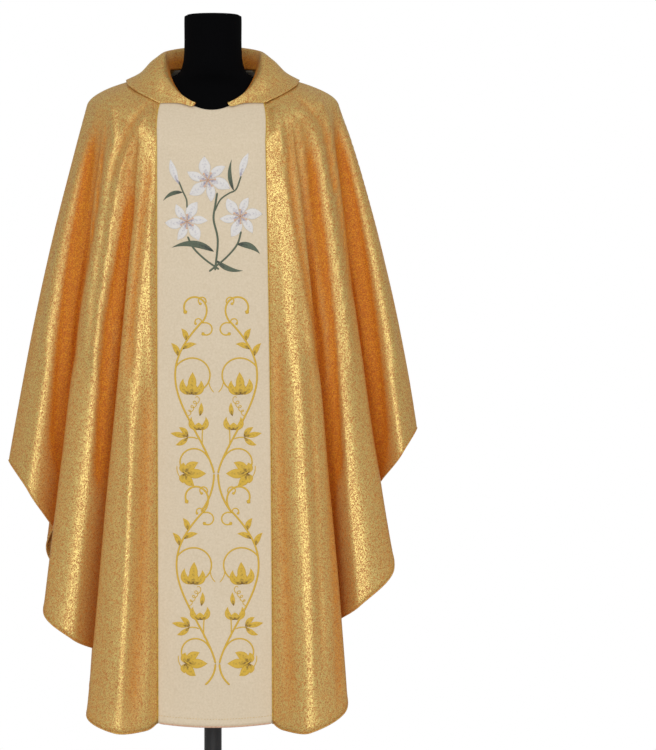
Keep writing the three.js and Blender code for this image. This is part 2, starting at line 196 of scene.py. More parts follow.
# %% The neckline
def outward(angle):
    """The level direction away from the neck at that angle."""
    a = np.radians(angle)
    return np.stack([-np.sin(a), -np.cos(a), np.zeros_like(a)], axis=-1)


def neckline(angle):
    """(-88 sin a, -reach cos a, side + (middle - side) |cos a|^1.3)."""
    a = np.radians(angle)
    in_front = np.cos(a) > 0
    reach = np.where(in_front, NECK_REACH["front"], NECK_REACH["back"])
    middle = np.where(in_front, NECK_HEIGHT["front"], NECK_HEIGHT["back"])
    z = NECK_HEIGHT["side"] + (middle - NECK_HEIGHT["side"]) * np.abs(np.cos(a)) ** NECK_DIP
    return np.stack([-NECK_HALF_WIDTH * np.sin(a), -reach * np.cos(a), z], axis=-1)


# %% A thread over the shoulder
def hermite(a, velocity_a, b, velocity_b, t):
    """Cubic from a to b that leaves and arrives at the given velocities."""
    t = np.asarray(t, float)[..., None]
    rise = t * t * (3 - 2 * t)
    leave = velocity_a * t * (1 - t) ** 2
    arrive = velocity_b * t * t * (t - 1)
    return a * (1 - rise) + b * rise + leave + arrive


def cape(angle, t):
    """A thread's stretch on the shoulders, from the neckline (t = 0) to the knee line (t = 1)."""
    angle, t = np.broadcast_arrays(np.asarray(angle, float) % 360, np.asarray(t, float))
    side = np.where(angle > 180, -1.0, 1.0)
    a = np.where(angle > 180, 360 - angle, angle)
    start = neckline(a)
    knee = np.stack([curve(KNEE, "angle", name, a) for name in "xyz"], axis=-1)
    reach = np.linalg.norm(knee - start, axis=-1)[..., None]
    pitch = np.radians(SHOULDER_PITCH + CHEST_PITCH * np.cos(np.radians(a)) ** 2)[..., None]
    leave = outward(a) * np.cos(pitch) - np.array([0, 0, 1]) * np.sin(pitch)
    lean = SIDE_LEAN * np.maximum(0, 1 - np.abs(a - 90) / (90 - SEAM_ANGLE))
    arrive = unit(np.stack([-lean, np.zeros_like(lean), -np.ones_like(lean)], axis=-1))
    points = hermite(start, leave * reach, knee, arrive * reach * KNEE_SWING, t)
    return points * np.stack([side, np.ones_like(side), np.ones_like(side)], axis=-1)


def thread(angle, hem_point, bow, v):
    """Neckline (v = -1), knee line (0), hem (1). The fall is straight but for 4v(1 - v) bow sideways."""
    on_shoulder = cape(angle, np.minimum(1 + v, 1))
    fall = np.maximum(v, 0)
    points = on_shoulder * (1 - fall[..., None]) + hem_point * fall[..., None]
    points[..., 0] += 4 * fall * (1 - fall) * bow * np.sign(hem_point[..., 0])
    return points


# %% The four side pieces and the two columns
SIDES = {
    "front_right": {"seam": 60, "shoulder": 90},
    "back_right": {"seam": 120, "shoulder": 90},
    "back_left": {"seam": 240, "shoulder": 270},
    "front_left": {"seam": 300, "shoulder": 270},
}
COLUMNS = {
    "front_panel": {"first": -60, "corners": ("front_left", "front_right"), "y": -160, "z": 219},
    "back_panel": {"first": 120, "corners": ("back_right", "back_left"), "y": 134, "z": 198},
}


# %% A gold side piece's surface and a cream column's
def side_surface(name, along, v):
    """Point of a side piece: `along` runs from the column's seam (0) to the shoulder seam (1)."""
    hem, cut = HEMS[name], SIDES[name]
    angle = cut["seam"] + (cut["shoulder"] - cut["seam"]) * curve(hem, "along", "start", along)
    hem_point = np.stack([curve(hem, "along", axis, along) for axis in "xyz"], axis=-1)
    return thread(angle, hem_point, curve(hem, "along", "bow", along), v)


def column_surface(name, share, v):
    """Point of a column: `share` runs from its first seam (0) to its last (1), round the neck."""
    cut = COLUMNS[name]
    first, last = (HEMS[corner] for corner in cut["corners"])
    x, y, z, bow = (
        first[axis][0] + (last[axis][0] - first[axis][0]) * share for axis in ("x", "y", "z", "bow")
    )
    belly = 4 * share * (1 - share)
    hem_point = np.stack([x, y + (cut["y"] - y) * belly, z + (cut["z"] - z) * belly], axis=-1)
    angle = cut["first"] + 2 * SEAM_ANGLE * share
    return thread(angle, hem_point, bow * np.abs(2 * share - 1), v)


# %% [markdown]
# ## From arrays to meshes
#
# A piece is a grid of points, row after row. `foreach_set` hands whole arrays to Blender, which is far
# quicker than one vertex at a time. The grid's faces are made from one array of corner numbers.


# %% The faces of a grid
def grid_faces(columns, rows, ring=False):
    """Corner numbers of the faces of a grid stored column by column, facing outwards."""
    i, j = np.meshgrid(np.arange(columns if ring else columns - 1), np.arange(rows - 1), indexing="ij")
    right = (i + 1) % columns
    corners = [i * rows + j, right * rows + j, right * rows + j + 1, i * rows + j + 1]
    return np.stack(corners, axis=-1).reshape(-1, 4)


# %% A mesh from arrays
def make_piece(name, points, faces, material, uv=None, numbers=None):
    """A smooth mesh object from points in millimetres, at the origin."""
    points = np.asarray(points, float).reshape(-1, 3)
    faces = np.asarray(faces)
    mesh = bpy.data.meshes.new(name)
    mesh.vertices.add(len(points))
    mesh.vertices.foreach_set("co", (points * MM).ravel())
    mesh.loops.add(faces.size)
    mesh.loops.foreach_set("vertex_index", faces.ravel())
    mesh.polygons.add(len(faces))
    mesh.polygons.foreach_set("loop_start", np.arange(len(faces)) * faces.shape[1])
    mesh.update(calc_edges=True)
    mesh.validate()
    mesh.polygons.foreach_set("use_smooth", np.ones(len(mesh.polygons), bool))
    if uv is not None:
        layer = mesh.uv_layers.new(name="cloth")
        corner = np.empty(len(mesh.loops), np.int32)
        mesh.loops.foreach_get("vertex_index", corner)
        layer.data.foreach_set("uv", np.asarray(uv, float).reshape(-1, 2)[corner].ravel())
    for label, values in (numbers or {}).items():
        store = mesh.attributes.new(label, "FLOAT", "POINT")
        store.data.foreach_set("value", np.asarray(values, float).ravel())
    mesh.materials.append(material)
    piece = bpy.data.objects.new(name, mesh)
    bpy.context.scene.collection.objects.link(piece)
    return piece


# %% Normals, doubles and walls
def normals_of(grid):
    """Unit normals of a grid of points, outwards: across x down."""
    across = np.gradient(grid, axis=0)
    down = np.gradient(grid, axis=1)
    return unit(np.cross(across, down))


def merged(piece, outwards=False):
    """Joins the points that lie on each other at the poles, and turns the faces outwards."""
    shape = bmesh.new()
    shape.from_mesh(piece.data)
    bmesh.ops.remove_doubles(shape, verts=shape.verts, dist=1e-6)
    if outwards:
        bmesh.ops.recalc_face_normals(shape, faces=shape.faces)
    shape.to_mesh(piece.data)
    shape.free()
    return piece


def thicken(piece, millimetres):
    """A closed cloth wall behind the outer surface."""
    wall = piece.modifiers.new("cloth", "SOLIDIFY")
    wall.thickness = millimetres * MM
    wall.offset = -1
    return piece


# %% [markdown]
# ## Colours and nodes
#
# Colours are written as on a colour chart, in sRGB hex, and one function turns them to the linear
# numbers that shaders use. One more function adds a node, with its settings and its links, to a
# material.


# %% Colour and node helpers
def linear(hex_colour):
    """Linear RGBA of an sRGB hex colour."""
    channels = np.array([int(hex_colour[i : i + 2], 16) for i in (0, 2, 4)]) / 255
    curve_part = ((channels + 0.055) / 1.055) ** 2.4
    return (*np.where(channels <= 0.04045, channels / 12.92, curve_part), 1)


def new_material(name):
    """A material with a Principled shader."""
    material = bpy.data.materials.new(name)
    material.use_nodes = True
    return material


def feed(material, target, inputs):
    """Sets a node's inputs. Each is a value, or a pair (node, output) that is linked to it."""
    for key, value in inputs.items():
        if isinstance(value, tuple) and isinstance(value[0], bpy.types.Node):
            material.node_tree.links.new(value[0].outputs[value[1]], target.inputs[key])
        else:
            target.inputs[key].default_value = value
    return target


def node(material, kind, inputs=None, **settings):
    """Adds a node with its settings and inputs."""
    made = material.node_tree.nodes.new(kind)
    for key, value in settings.items():
        setattr(made, key, value)
    return feed(material, made, inputs or {})


def surface_of(material, **inputs):
    """Feeds the material's Principled shader; names use _ for spaces."""
    named = {key.replace("_", " "): value for key, value in inputs.items()}
    feed(material, material.node_tree.nodes["Principled BSDF"], named)


def ramp(material, fac, *stops):
    """Colour ramp through (place, hex) stops."""
    made = node(material, "ShaderNodeValToRGB", {"Fac": fac})
    elements = made.color_ramp.elements
    while len(elements) < len(stops):
        elements.new(0.5)
    for element, (place, colour) in zip(elements, stops):
        element.position = place
        element.color = linear(colour)
    return made


# %% [markdown]
# ## Gold lame
#
# Lame is woven of a tan silk-like warp and flat metallised strips. The strips throw the light back as
# pale yellow glitter, but only where they face it. Elsewhere the tan shows, and between the folds the
# light has bounced from gold to gold, which turns it deep orange. That deep orange is painted shade:
# the cloth's `fold_shade` mixes it into the colour, and takes the metal away there as well. So the
# material is bare metal in some cells and dyed thread in the others. The real strips are 0.3 mm wide.
# They are drawn as cells of 1.4 mm, the size of the smallest glint that shows.

# %% The gold material
SPARKLE_CELL = 1.4  # mm
gold_lame = new_material("gold lame, woven metallised strips")
place = node(gold_lame, "ShaderNodeTexCoord")
shade = node(gold_lame, "ShaderNodeAttribute", attribute_name="fold_shade")
cells = node(
    gold_lame,
    "ShaderNodeTexVoronoi",
    {"Vector": (place, "Object"), "Scale": 1 / (SPARKLE_CELL * MM)},
)
cell_value = node(gold_lame, "ShaderNodeSeparateColor", {"Color": (cells, "Color")})
warp = ramp(gold_lame, (cell_value, "Red"), (0.0, "C07028"), (1.0, "E29C4C"))
# Painted shade: the deep orange of light bounced between the folds, mixed in where fold_shade is high.
painted_fold_shade_ramp = ramp(gold_lame, (cell_value, "Red"), (0.0, "C25E00"), (0.6, "E07E02"), (1.0, "F4A81C"))
thread_colour_and_painted_shade = node(
    gold_lame,
    "ShaderNodeMix",
    {"Factor": (shade, "Fac"), 6: (warp, "Color"), 7: (painted_fold_shade_ramp, "Color")},
    data_type="RGBA",
)
# Painted shade also takes the bare metal away where fold_shade is high.
metal_outside_painted_shade = node(
    gold_lame,
    "ShaderNodeMath",
    {0: (shade, "Fac"), 1: -0.95, 2: 1.0},
    operation="MULTIPLY_ADD",
)
strip_lies = node(
    gold_lame,
    "ShaderNodeMath",
    {0: (cell_value, "Blue"), 1: 1.7, 2: -0.3},
    operation="MULTIPLY_ADD",
    use_clamp=True,
)
bare_metal = node(
    gold_lame,
    "ShaderNodeMath",
    {0: (metal_outside_painted_shade, "Value"), 1: (strip_lies, "Value")},
    operation="MULTIPLY",
)
gold_colour = node(
    gold_lame,
    "ShaderNodeMix",
    {"Factor": (bare_metal, "Value"), 6: (thread_colour_and_painted_shade, 2), 7: linear("F6DE8C")},
    data_type="RGBA",
)
dullness = node(
    gold_lame,
    "ShaderNodeMath",
    {0: (shade, "Fac"), 1: 0.3, 2: 0.42},
    operation="MULTIPLY_ADD",
)
gold_bump = node(
    gold_lame,
    "ShaderNodeBump",
    {"Height": (cell_value, "Green"), "Strength": 1.0, "Distance": 0.0006},
)
surface_of(
    gold_lame,
    Base_Color=(gold_colour, 2),
    Metallic=(bare_metal, "Value"),
    Roughness=(dullness, "Value"),
    Normal=(gold_bump, "Normal"),
)

# %% [markdown]
# ## Cream ribbed cloth
#
# The columns are a matt weave with fine cross ribs, like a poplin. Ribs of about 1 mm are drawn at
# 2 mm, which is the finest that still shows. Matt cloth scatters nearly all of its light, so it has a
# high roughness and a little sheen.

# %% The cream material
RIB = 2.0  # mm
cream_rib = new_material("cream ribbed poplin")
cream_place = node(cream_rib, "ShaderNodeTexCoord")
ribs = node(
    cream_rib,
    "ShaderNodeTexWave",
    {
        "Vector": (cream_place, "Object"),
        "Scale": 2 * math.pi / (20 * RIB * MM),
        "Distortion": 1.2,
        "Detail": 2.0,
        "Detail Scale": 30.0,
    },
    bands_direction="Z",
)
slubs = node(
    cream_rib,
    "ShaderNodeTexNoise",
    {"Vector": (cream_place, "Object"), "Scale": 260.0, "Detail": 3.0},
)
cream_colour = ramp(cream_rib, (slubs, "Fac"), (0.3, "E4D2B4"), (0.7, "EEDDC2"))
rib_bump = node(
    cream_rib,
    "ShaderNodeBump",
    {"Height": (ribs, "Fac"), "Strength": 0.25, "Distance": 0.0005},
)
surface_of(
    cream_rib,
    Base_Color=(cream_colour, "Color"),
    Roughness=0.85,
    Normal=(rib_bump, "Normal"),
    Sheen_Weight=0.2,
)

# %% [markdown]
# ## The gold side pieces
#
# Each side piece could be simulated, but then the folds would fall where they like. They are laid out
# one by one instead: the big ones come with the threads, and the smaller ones are soft ridges and troughs
# along lines seen from the front. A crease moves the cloth along its normal by height times a bell of
# the distance from its line, and it tapers off at both ends.

# %% The creases
CREASES = {
    # half-width, height out of the cloth, shade, corners of its line
    "front_right": [
        (6, -3.5, 0.7, [(-214, 1400), (-206, 1360), (-214, 1300), (-222, 1220),
                        (-242, 1110), (-262, 1000), (-270, 870)]),
        (9, 4.5, 0, [(-218, 1410), (-240, 1340), (-264, 1270), (-292, 1156), (-316, 1020), (-330, 900)]),
        (12, -6, 1, [(-226, 1396), (-238, 1320), (-256, 1220), (-272, 1130),
                     (-287, 1000), (-298, 860), (-306, 690)]),
        (8, 3, 0, [(-222, 1370), (-226, 1310), (-242, 1190), (-258, 1080), (-278, 900)]),
        (9, 4, 0, [(-188, 1380), (-200, 1290), (-216, 1180), (-234, 1050), (-246, 900)]),
        (7, 4, 0, [(-102, 1416), (-124, 1388), (-148, 1350), (-168, 1300), (-180, 1240)]),
        (6, -3, 0.4, [(-112, 1428), (-138, 1400), (-160, 1366), (-184, 1310), (-198, 1250)]),
        (7, 3.5, 0, [(-196, 1424), (-190, 1396), (-186, 1360), (-188, 1310)]),
        (9, 4.5, 0, [(-114, 1392), (-146, 1342), (-172, 1290), (-190, 1200),
                     (-204, 1100), (-220, 980), (-230, 860)]),
        (5, 2.5, 0, [(-123, 1350), (-145, 1296), (-158, 1170), (-174, 1010), (-184, 880)]),
        (10, -5.5, 1, [(-148, 1270), (-160, 1190), (-178, 1094), (-197, 1000), (-208, 880), (-220, 640)]),
        (7, -3.5, 0.8, [(-134, 1330), (-120, 1291), (-130, 1200),
                        (-140, 1100), (-150, 1000), (-160, 860)]),
        (14, -3.5, 0.6, [(-120, 900), (-125, 700), (-134, 455), (-144, 300), (-148, 190)]),
        (10, 3.5, 0, [(-150, 860), (-154, 700), (-160, 455), (-168, 300), (-172, 200)]),
        (7, 2.5, 0, [(-118, 1250), (-116, 1000), (-112, 860)]),
        (5, 2, 0, [(-112, 420), (-120, 320), (-116, 210)]),
    ],
    "front_left": [
        (6, -3, 0.4, [(150, 1436), (186, 1410), (214, 1370), (226, 1310), (240, 1230)]),
        (7, 3.5, 0, [(204, 1428), (222, 1392), (232, 1350)]),
        (9, 4.5, 0, [(138, 1427), (186, 1382), (206, 1340), (222, 1250),
                     (240, 1156), (264, 980), (276, 860)]),
        (10, -5.5, 1, [(170, 1376), (190, 1320), (204, 1220), (218, 1120),
                       (232, 980), (238, 860), (248, 640)]),
        (6, 3, 0, [(138, 1402), (168, 1368), (178, 1300), (188, 1218), (198, 1120), (210, 980)]),
        (8, -4, 0.6, [(138, 1394), (152, 1340), (154, 1270), (166, 1160),
                      (186, 1050), (202, 970), (212, 860)]),
        (9, 3.5, 0, [(116, 1412), (130, 1365), (138, 1310)]),
        (5, -2.5, 0.3, [(120, 1330), (134, 1312), (146, 1290)]),
        (8, 3.5, 0, [(112, 1294), (140, 1266), (156, 1190), (172, 1100), (188, 1020), (194, 900)]),
        (6, 3.5, 0, [(214, 1408), (232, 1340), (244, 1250), (262, 1140), (290, 980), (304, 860)]),
        (5, -3, 0.5, [(210, 1405), (226, 1340), (236, 1270), (254, 1170), (278, 1010)]),
        (12, -6, 1, [(234, 1398), (250, 1330), (272, 1230), (292, 1110),
                     (310, 980), (322, 870), (334, 690)]),
        (9, 4.5, 0, [(225, 1427), (254, 1372), (280, 1295), (304, 1200),
                     (328, 1080), (346, 970), (372, 860)]),
        (12, -3, 0.55, [(124, 1010), (130, 860), (136, 640), (146, 420), (152, 200)]),
        (12, 3.5, 0, [(160, 1000), (172, 840), (184, 640), (192, 420), (196, 205)]),
        (6, -2, 0.2, [(186, 980), (196, 760), (206, 520), (214, 300)]),
        (8, -2, 0.5, [(222, 900), (232, 640), (242, 420), (247, 230)]),
        (7, 2.5, 0, [(112, 620), (114, 400), (120, 210)]),
    ],
    "back_right": [
        (9, 3, 0, [(-120, 1420), (-160, 1395), (-190, 1330), (-215, 1240), (-240, 1100), (-262, 900)]),
        (8, -3.5, 0.7, [(-150, 1380), (-172, 1310), (-190, 1200), (-205, 1060), (-220, 880)]),
        (8, -3.5, 0.7, [(-225, 1400), (-245, 1320), (-262, 1200), (-282, 1060), (-300, 900)]),
        (8, 3, 0, [(-122, 1300), (-130, 1100), (-136, 900), (-130, 600), (-126, 300)]),
        (13, -3.5, 0.55, [(-150, 1020), (-156, 800), (-158, 520), (-154, 200)]),
        (9, 4, 0, [(-240, 1180), (-262, 1000), (-286, 800), (-300, 640)]),
        (8, -3, 0.5, [(-320, 1080), (-340, 930), (-356, 780)]),
        (6, 3, 0, [(-140, 1440), (-176, 1424), (-206, 1390), (-222, 1340)]),
    ],
    "back_left": [
        (9, 3, 0, [(120, 1420), (158, 1398), (192, 1335), (220, 1240), (248, 1100), (275, 900)]),
        (8, -3.5, 0.7, [(148, 1385), (170, 1310), (190, 1200), (210, 1060), (228, 880)]),
        (8, -3.5, 0.7, [(228, 1405), (250, 1320), (272, 1200), (292, 1060), (314, 900)]),
        (8, 3, 0, [(122, 1300), (132, 1100), (138, 900), (134, 600), (130, 300)]),
        (14, -3.5, 0.55, [(154, 1040), (162, 820), (166, 560), (160, 210)]),
        (9, 4, 0, [(250, 1160), (272, 1000), (292, 820), (306, 620)]),
        (8, -3, 0.5, [(326, 1100), (346, 950), (366, 800)]),
        (6, 3, 0, [(136, 1442), (170, 1428), (200, 1396), (226, 1350)]),
    ],
}

# %% Where a crease lies and what it does
CREASE_STEP = 10  # mm between the points that stand for a crease
CREASE_TAPER = 0.15  # share of its length
SHADE_SPREAD = 1.1  # the shade's bell is that much wider than the crease's


def run_along(line):
    """Distance of each point of a line from its start, along the line."""
    return np.concatenate([[0], np.cumsum(np.linalg.norm(np.diff(line, axis=0), axis=-1))])


def at_places(places, run, line):
    """The points of a line at those distances from its start."""
    return np.stack([np.interp(places, run, values) for values in line.T], axis=-1)


def evenly(line, step):
    """Points about `step` apart on a line, and their distance from its start."""
    run = run_along(line)
    even = np.linspace(0, run[-1], max(int(run[-1] / step), 4) + 1)
    return at_places(even, run, line), even


def smooth_line(corners, step):
    """Points `step` apart on the smooth curve through the corners, and their distance from its start."""
    corners = np.array(corners, float)
    rows = {"k": np.arange(len(corners), dtype=float), "x": corners[:, 0], "z": corners[:, 1]}
    t = np.linspace(0, len(corners) - 1, 24 * len(corners))
    return evenly(np.stack([curve(rows, "k", "x", t), curve(rows, "k", "z", t)], axis=-1), step)


def crease_field(points, creases):
    """Height to move each point by, and the shade to add, summed over the creases."""
    flat = points[..., [0, 2]].reshape(-1, 2)
    height = np.zeros(len(flat))
    shade_sum = np.zeros(len(flat))
    for width, rise, shade_more, line in creases:
        samples, run = smooth_line(line, CREASE_STEP)
        gaps = np.linalg.norm(flat[:, None] - samples[None], axis=-1)
        nearest = gaps.argmin(axis=1)
        gap = gaps.min(axis=1)
        place_on = run[nearest] / run[-1]
        taper = smooth(place_on / CREASE_TAPER) * smooth((1 - place_on) / CREASE_TAPER)
        height += rise * (np.exp(-((gap / width) ** 2)) * taper)
        shade_sum += shade_more * np.exp(-((gap / (SHADE_SPREAD * width)) ** 2)) * taper
    return height.reshape(points.shape[:-1]), shade_sum.reshape(points.shape[:-1])


# %% Hung cloth and its ripple
SIDE_GRID = {"columns": 161, "cape_rows": 36, "fall_rows": 112}
CLOTH = 1.6  # mm, a little under the solid's wall
RIPPLE = {"lengths": (60, 85, 120, 200), "height": 0.35}  # mm
HELD_AT_SEAMS = {"column": 0.03, "shoulder": 0.05}  # share of the piece's breadth
DEEP_FOLD = {"gain": 1.5, "from": -0.15, "over": 0.5}  # how soon below the knee line a fold is in shade


def stands_in(piece, solid):
    """Puts the piece on the part's one body, in place of that solid, which is hidden."""
    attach(piece, "root")
    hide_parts(solid)
    return piece


def hang_cloth(name, grid, material, numbers=None):
    """A thick piece of cloth from its outer surface, named for the solid that it replaces."""
    faces = grid_faces(*grid.shape[:2])
    piece = make_piece(name + "_cloth", grid, faces, material, numbers=numbers)
    return stands_in(thicken(piece, CLOTH), name)


def rows_down(cape_rows, fall_rows):
    """v for each row: evenly from the neckline to the knee line, then evenly to the hem."""
    return np.concatenate([np.linspace(-1, 0, cape_rows, endpoint=False), np.linspace(0, 1, fall_rows)])


def ripple(points, seed):
    """Small long waves of cloth that never hangs quite still: a few sines, 60 to 200 mm long."""
    draw = np.random.default_rng(seed)
    total = np.zeros(points.shape[:-1])
    for length in RIPPLE["lengths"]:
        lean = draw.uniform(-0.2, 0.2)
        start = draw.uniform(0, FULL_TURN)
        drift = draw.uniform(0.1, 0.3)
        place_across = points[..., 0] + lean * points[..., 2] + drift * points[..., 1]
        total += (length / 120) * np.sin(FULL_TURN * place_across / length + start)
    return total * RIPPLE["height"]


# %% Hanging the side pieces
def hang_side(name, seed):
    """A side piece with its creases and ripple, which fade out at its two seams."""
    rows = rows_down(SIDE_GRID["cape_rows"], SIDE_GRID["fall_rows"])
    along = np.linspace(0, 1, SIDE_GRID["columns"])
    if SIDES[name]["seam"] in (120, 300):
        along = along[::-1]
    along, v = np.meshgrid(along, rows, indexing="ij")
    grid = side_surface(name, along, v)
    height, more = crease_field(grid, CREASES[name])
    free = smooth(along / HELD_AT_SEAMS["column"]) * smooth((1 - along) / HELD_AT_SEAMS["shoulder"])
    height = (height + ripple(grid, seed)) * free
    grid = grid + normals_of(grid) * height[..., None]
    in_fold = np.clip(DEEP_FOLD["gain"] * curve(HEMS[name], "along", "deep", along), 0, 1)
    deep = in_fold * smooth((v - DEEP_FOLD["from"]) / DEEP_FOLD["over"])
    shades = {"fold_shade": np.clip(deep + more * free, 0, 1)}
    return hang_cloth(name, grid, gold_lame, shades), grid


side_pieces = {}
side_grids = {}
for seed, name in enumerate(SIDES):
    side_pieces[name], side_grids[name] = hang_side(name, seed)
    print(name, "grid", side_grids[name].shape)

# %% [markdown]
# ## The cream columns
#
# A column hangs nearly flat because its lining holds it. It only ripples a little, and its two seams
# pull it in. The embroidery lies on the same surface, so the ripple is part of the surface's function.

# %% A column's ripple
COLUMN_GRID = {"columns": 61, "cape_rows": 30, "fall_rows": 150}
COLUMN_RIPPLE = table("length height start", (310, 1.2, 0.4), (190, 0.8, 2.1), (120, 0.5, 4.0))


def column_point(name, share, v):
    """The column's surface with its ripple: sum of height sin(2 pi (z + 0.4 x) / length + start)."""
    points = column_surface(name, share, v)
    facing = -1 if name == "front_panel" else 1
    wave = np.zeros(points.shape[:-1])
    for length, height, start in zip(*COLUMN_RIPPLE.values()):
        wave += height * np.sin(FULL_TURN * (points[..., 2] + 0.4 * points[..., 0]) / length + start)
    held = smooth(share / 0.12) * smooth((1 - share) / 0.12) * smooth((v + 0.4) / 0.5)
    points[..., 1] += facing * wave * held
    return points


# %% Hanging the columns
def hang_column(name):
    """A column with its ripple."""
    rows = rows_down(COLUMN_GRID["cape_rows"], COLUMN_GRID["fall_rows"])
    share, v = np.meshgrid(np.linspace(0, 1, COLUMN_GRID["columns"]), rows, indexing="ij")
    grid = column_point(name, share, v)
    return hang_cloth(name, grid, cream_rib), grid


column_pieces = {}
column_grids = {}
for name in COLUMNS:
    column_pieces[name], column_grids[name] = hang_column(name)
    print(name, "grid", column_grids[name].shape)

# %% [markdown]
# ## The rolled collar
#
# The collar stands on the neckline, rolls over and falls on the shoulders, with round ends in front
# and a point behind. Its section at each angle is a smooth curve through six points. Spacing the
# curve by the square root of the distance between them keeps it from looping at the roll.

# %% The collar's table
COLLAR = table(
    "angle stand out fall upper lower",
    (20, 8, 3, 0.07, 0.5, 0.5),
    (30, 8, 5, 0.09, 0.5, 0.5),
    (40, 9, 7, 0.15, 1, 0),
    (50, 10, 8, 0.25, 1.5, -0.5),
    (60, 13, 9, 0.36, 2, -1),
    (70, 18, 10, 0.45, 3, -2),
    (80, 25, 8, 0.45, 3.5, -3),
    (90, 32, 7, 0.41, 3.5, -3),
    (105, 37, 11, 0.45, 4, 0),
    (120, 40, 13, 0.54, 4, 3),
    (150, 45, 14, 0.7, 4, 4.5),
    (180, 46, 14, 0.93, 4, 4.5),
)
COLLAR_INSET = 5  # mm that its foot lies inside the neckline
COLLAR_FOOT = 2  # mm that its foot stands above it
COLLAR_LIFT = 4  # mm between the shoulders' cloth and its edge
COLLAR_FALL_SHARES = {"upper": 0.3, "lower": 0.65}
COLLAR_WAIST = {"height": 0.6, "reach": 0.3, "inset": 1}
UP = np.array([0.0, 0.0, 1.0])


# %% The collar's section
def through_points(points, t):
    """Centripetal curve through points of shape (corner, column, 3) at each t from 0 to 1."""
    ends = [2 * points[:1] - points[1:2], points, 2 * points[-1:] - points[-2:-1]]
    padded = np.concatenate(ends)
    spans = len(points) - 1
    i = np.minimum((t * spans).astype(int), spans - 1)
    s = (t * spans - i)[:, None, None]
    p0, p1, p2, p3 = (padded[i + k] for k in range(4))
    pairs = ((p0, p1), (p1, p2), (p2, p3))
    gap = [np.sqrt(np.linalg.norm(b - a, axis=-1, keepdims=True)) for a, b in pairs]
    leave = ((p1 - p0) / gap[0] - (p2 - p0) / (gap[0] + gap[1]) + (p2 - p1) / gap[1]) * gap[1]
    arrive = ((p2 - p1) / gap[1] - (p3 - p1) / (gap[1] + gap[2]) + (p3 - p2) / gap[2]) * gap[1]
    rise = s * s * (3 - 2 * s)
    return p1 * (1 - rise) + p2 * rise + leave * s * (1 - s) ** 2 + arrive * s * s * (s - 1)


def collar_surface(angle, t):
    """Foot (t = 0), waist, roll, two places on the fall, and the fall's edge (t = 1)."""
    table_angle = np.where(angle <= 180, angle, 360 - angle)
    stand, out, fall = (curve(COLLAR, "angle", name, table_angle) for name in ("stand", "out", "fall"))
    lifts = {name: curve(COLLAR, "angle", name, table_angle)[..., None] for name in COLLAR_FALL_SHARES}

    def away(reach, height):
        return neckline(angle) + outward(angle) * reach[..., None] + UP * height[..., None]

    nudge = 0.01
    down = cape(angle, fall + nudge) - cape(angle, fall - nudge)
    across = cape(angle + 1, fall) - cape(angle - 1, fall)
    lifted = unit(np.cross(across, down))
    roll = away(out, stand)
    edge = cape(angle, fall) + lifted * COLLAR_LIFT
    on_fall = [
        roll + (edge - roll) * share + lifted * lifts[name]
        for name, share in COLLAR_FALL_SHARES.items()
    ]
    foot = away(np.full_like(angle, -COLLAR_INSET), np.full_like(angle, COLLAR_FOOT))
    waist = away(COLLAR_WAIST["reach"] * out - COLLAR_WAIST["inset"], COLLAR_WAIST["height"] * stand)
    return through_points(np.stack([foot, waist, roll, *on_fall, edge]), t)


# %% Sewing the collar
COLLAR_GRID = {"columns": 241, "rows": 41}
COLLAR_END = {"angle": 9, "blunt": 0.15, "tip_at": 0.4}
collar_angles = np.linspace(COLLAR["angle"][0], 360 - COLLAR["angle"][0], COLLAR_GRID["columns"])
collar_rows = np.linspace(0, 1, COLLAR_GRID["rows"])
collar_grid = np.swapaxes(collar_surface(collar_angles, collar_rows), 0, 1)
from_end = np.minimum(collar_angles - collar_angles[0], collar_angles[-1] - collar_angles)
from_end = from_end / COLLAR_END["angle"]
round_end = np.sqrt(np.clip(1 - (1 - np.clip(from_end, 0, 1)) ** 2, COLLAR_END["blunt"] ** 2, 1))
tip = collar_surface(collar_angles, np.array([COLLAR_END["tip_at"]]))[0][:, None]
collar_grid = tip + (collar_grid - tip) * round_end[:, None, None]
fallen = np.broadcast_to(smooth((collar_rows - 0.5) * 3), collar_grid.shape[:2])
collar_grid = collar_grid + normals_of(collar_grid) * (fallen * ripple(collar_grid, 9))[..., None]
collar_shade = np.broadcast_to(1 - smooth(collar_rows * 3 - 0.3), collar_grid.shape[:2])
collar_piece = hang_cloth(
    "collar", collar_grid, gold_lame, {"fold_shade": collar_shade}
)
print("collar grid", collar_grid.shape)

# %% [markdown]
# ## Machine embroidery
#
# Embroidery is thread laid side by side over padding, so it stands about 1 mm proud. A flat picture on
# the cloth would look printed. Each stem, blade and petal is therefore a closed padded stroke: a line
# on the cloth, a half-width along it, and a rounded section. All strokes of one colour form one mesh.
# The stitches are drawn three times too coarse, at 1.2 mm, or they wouldn't show.

# %% Thread in its colours
STITCH = 1.2  # mm between drawn stitches


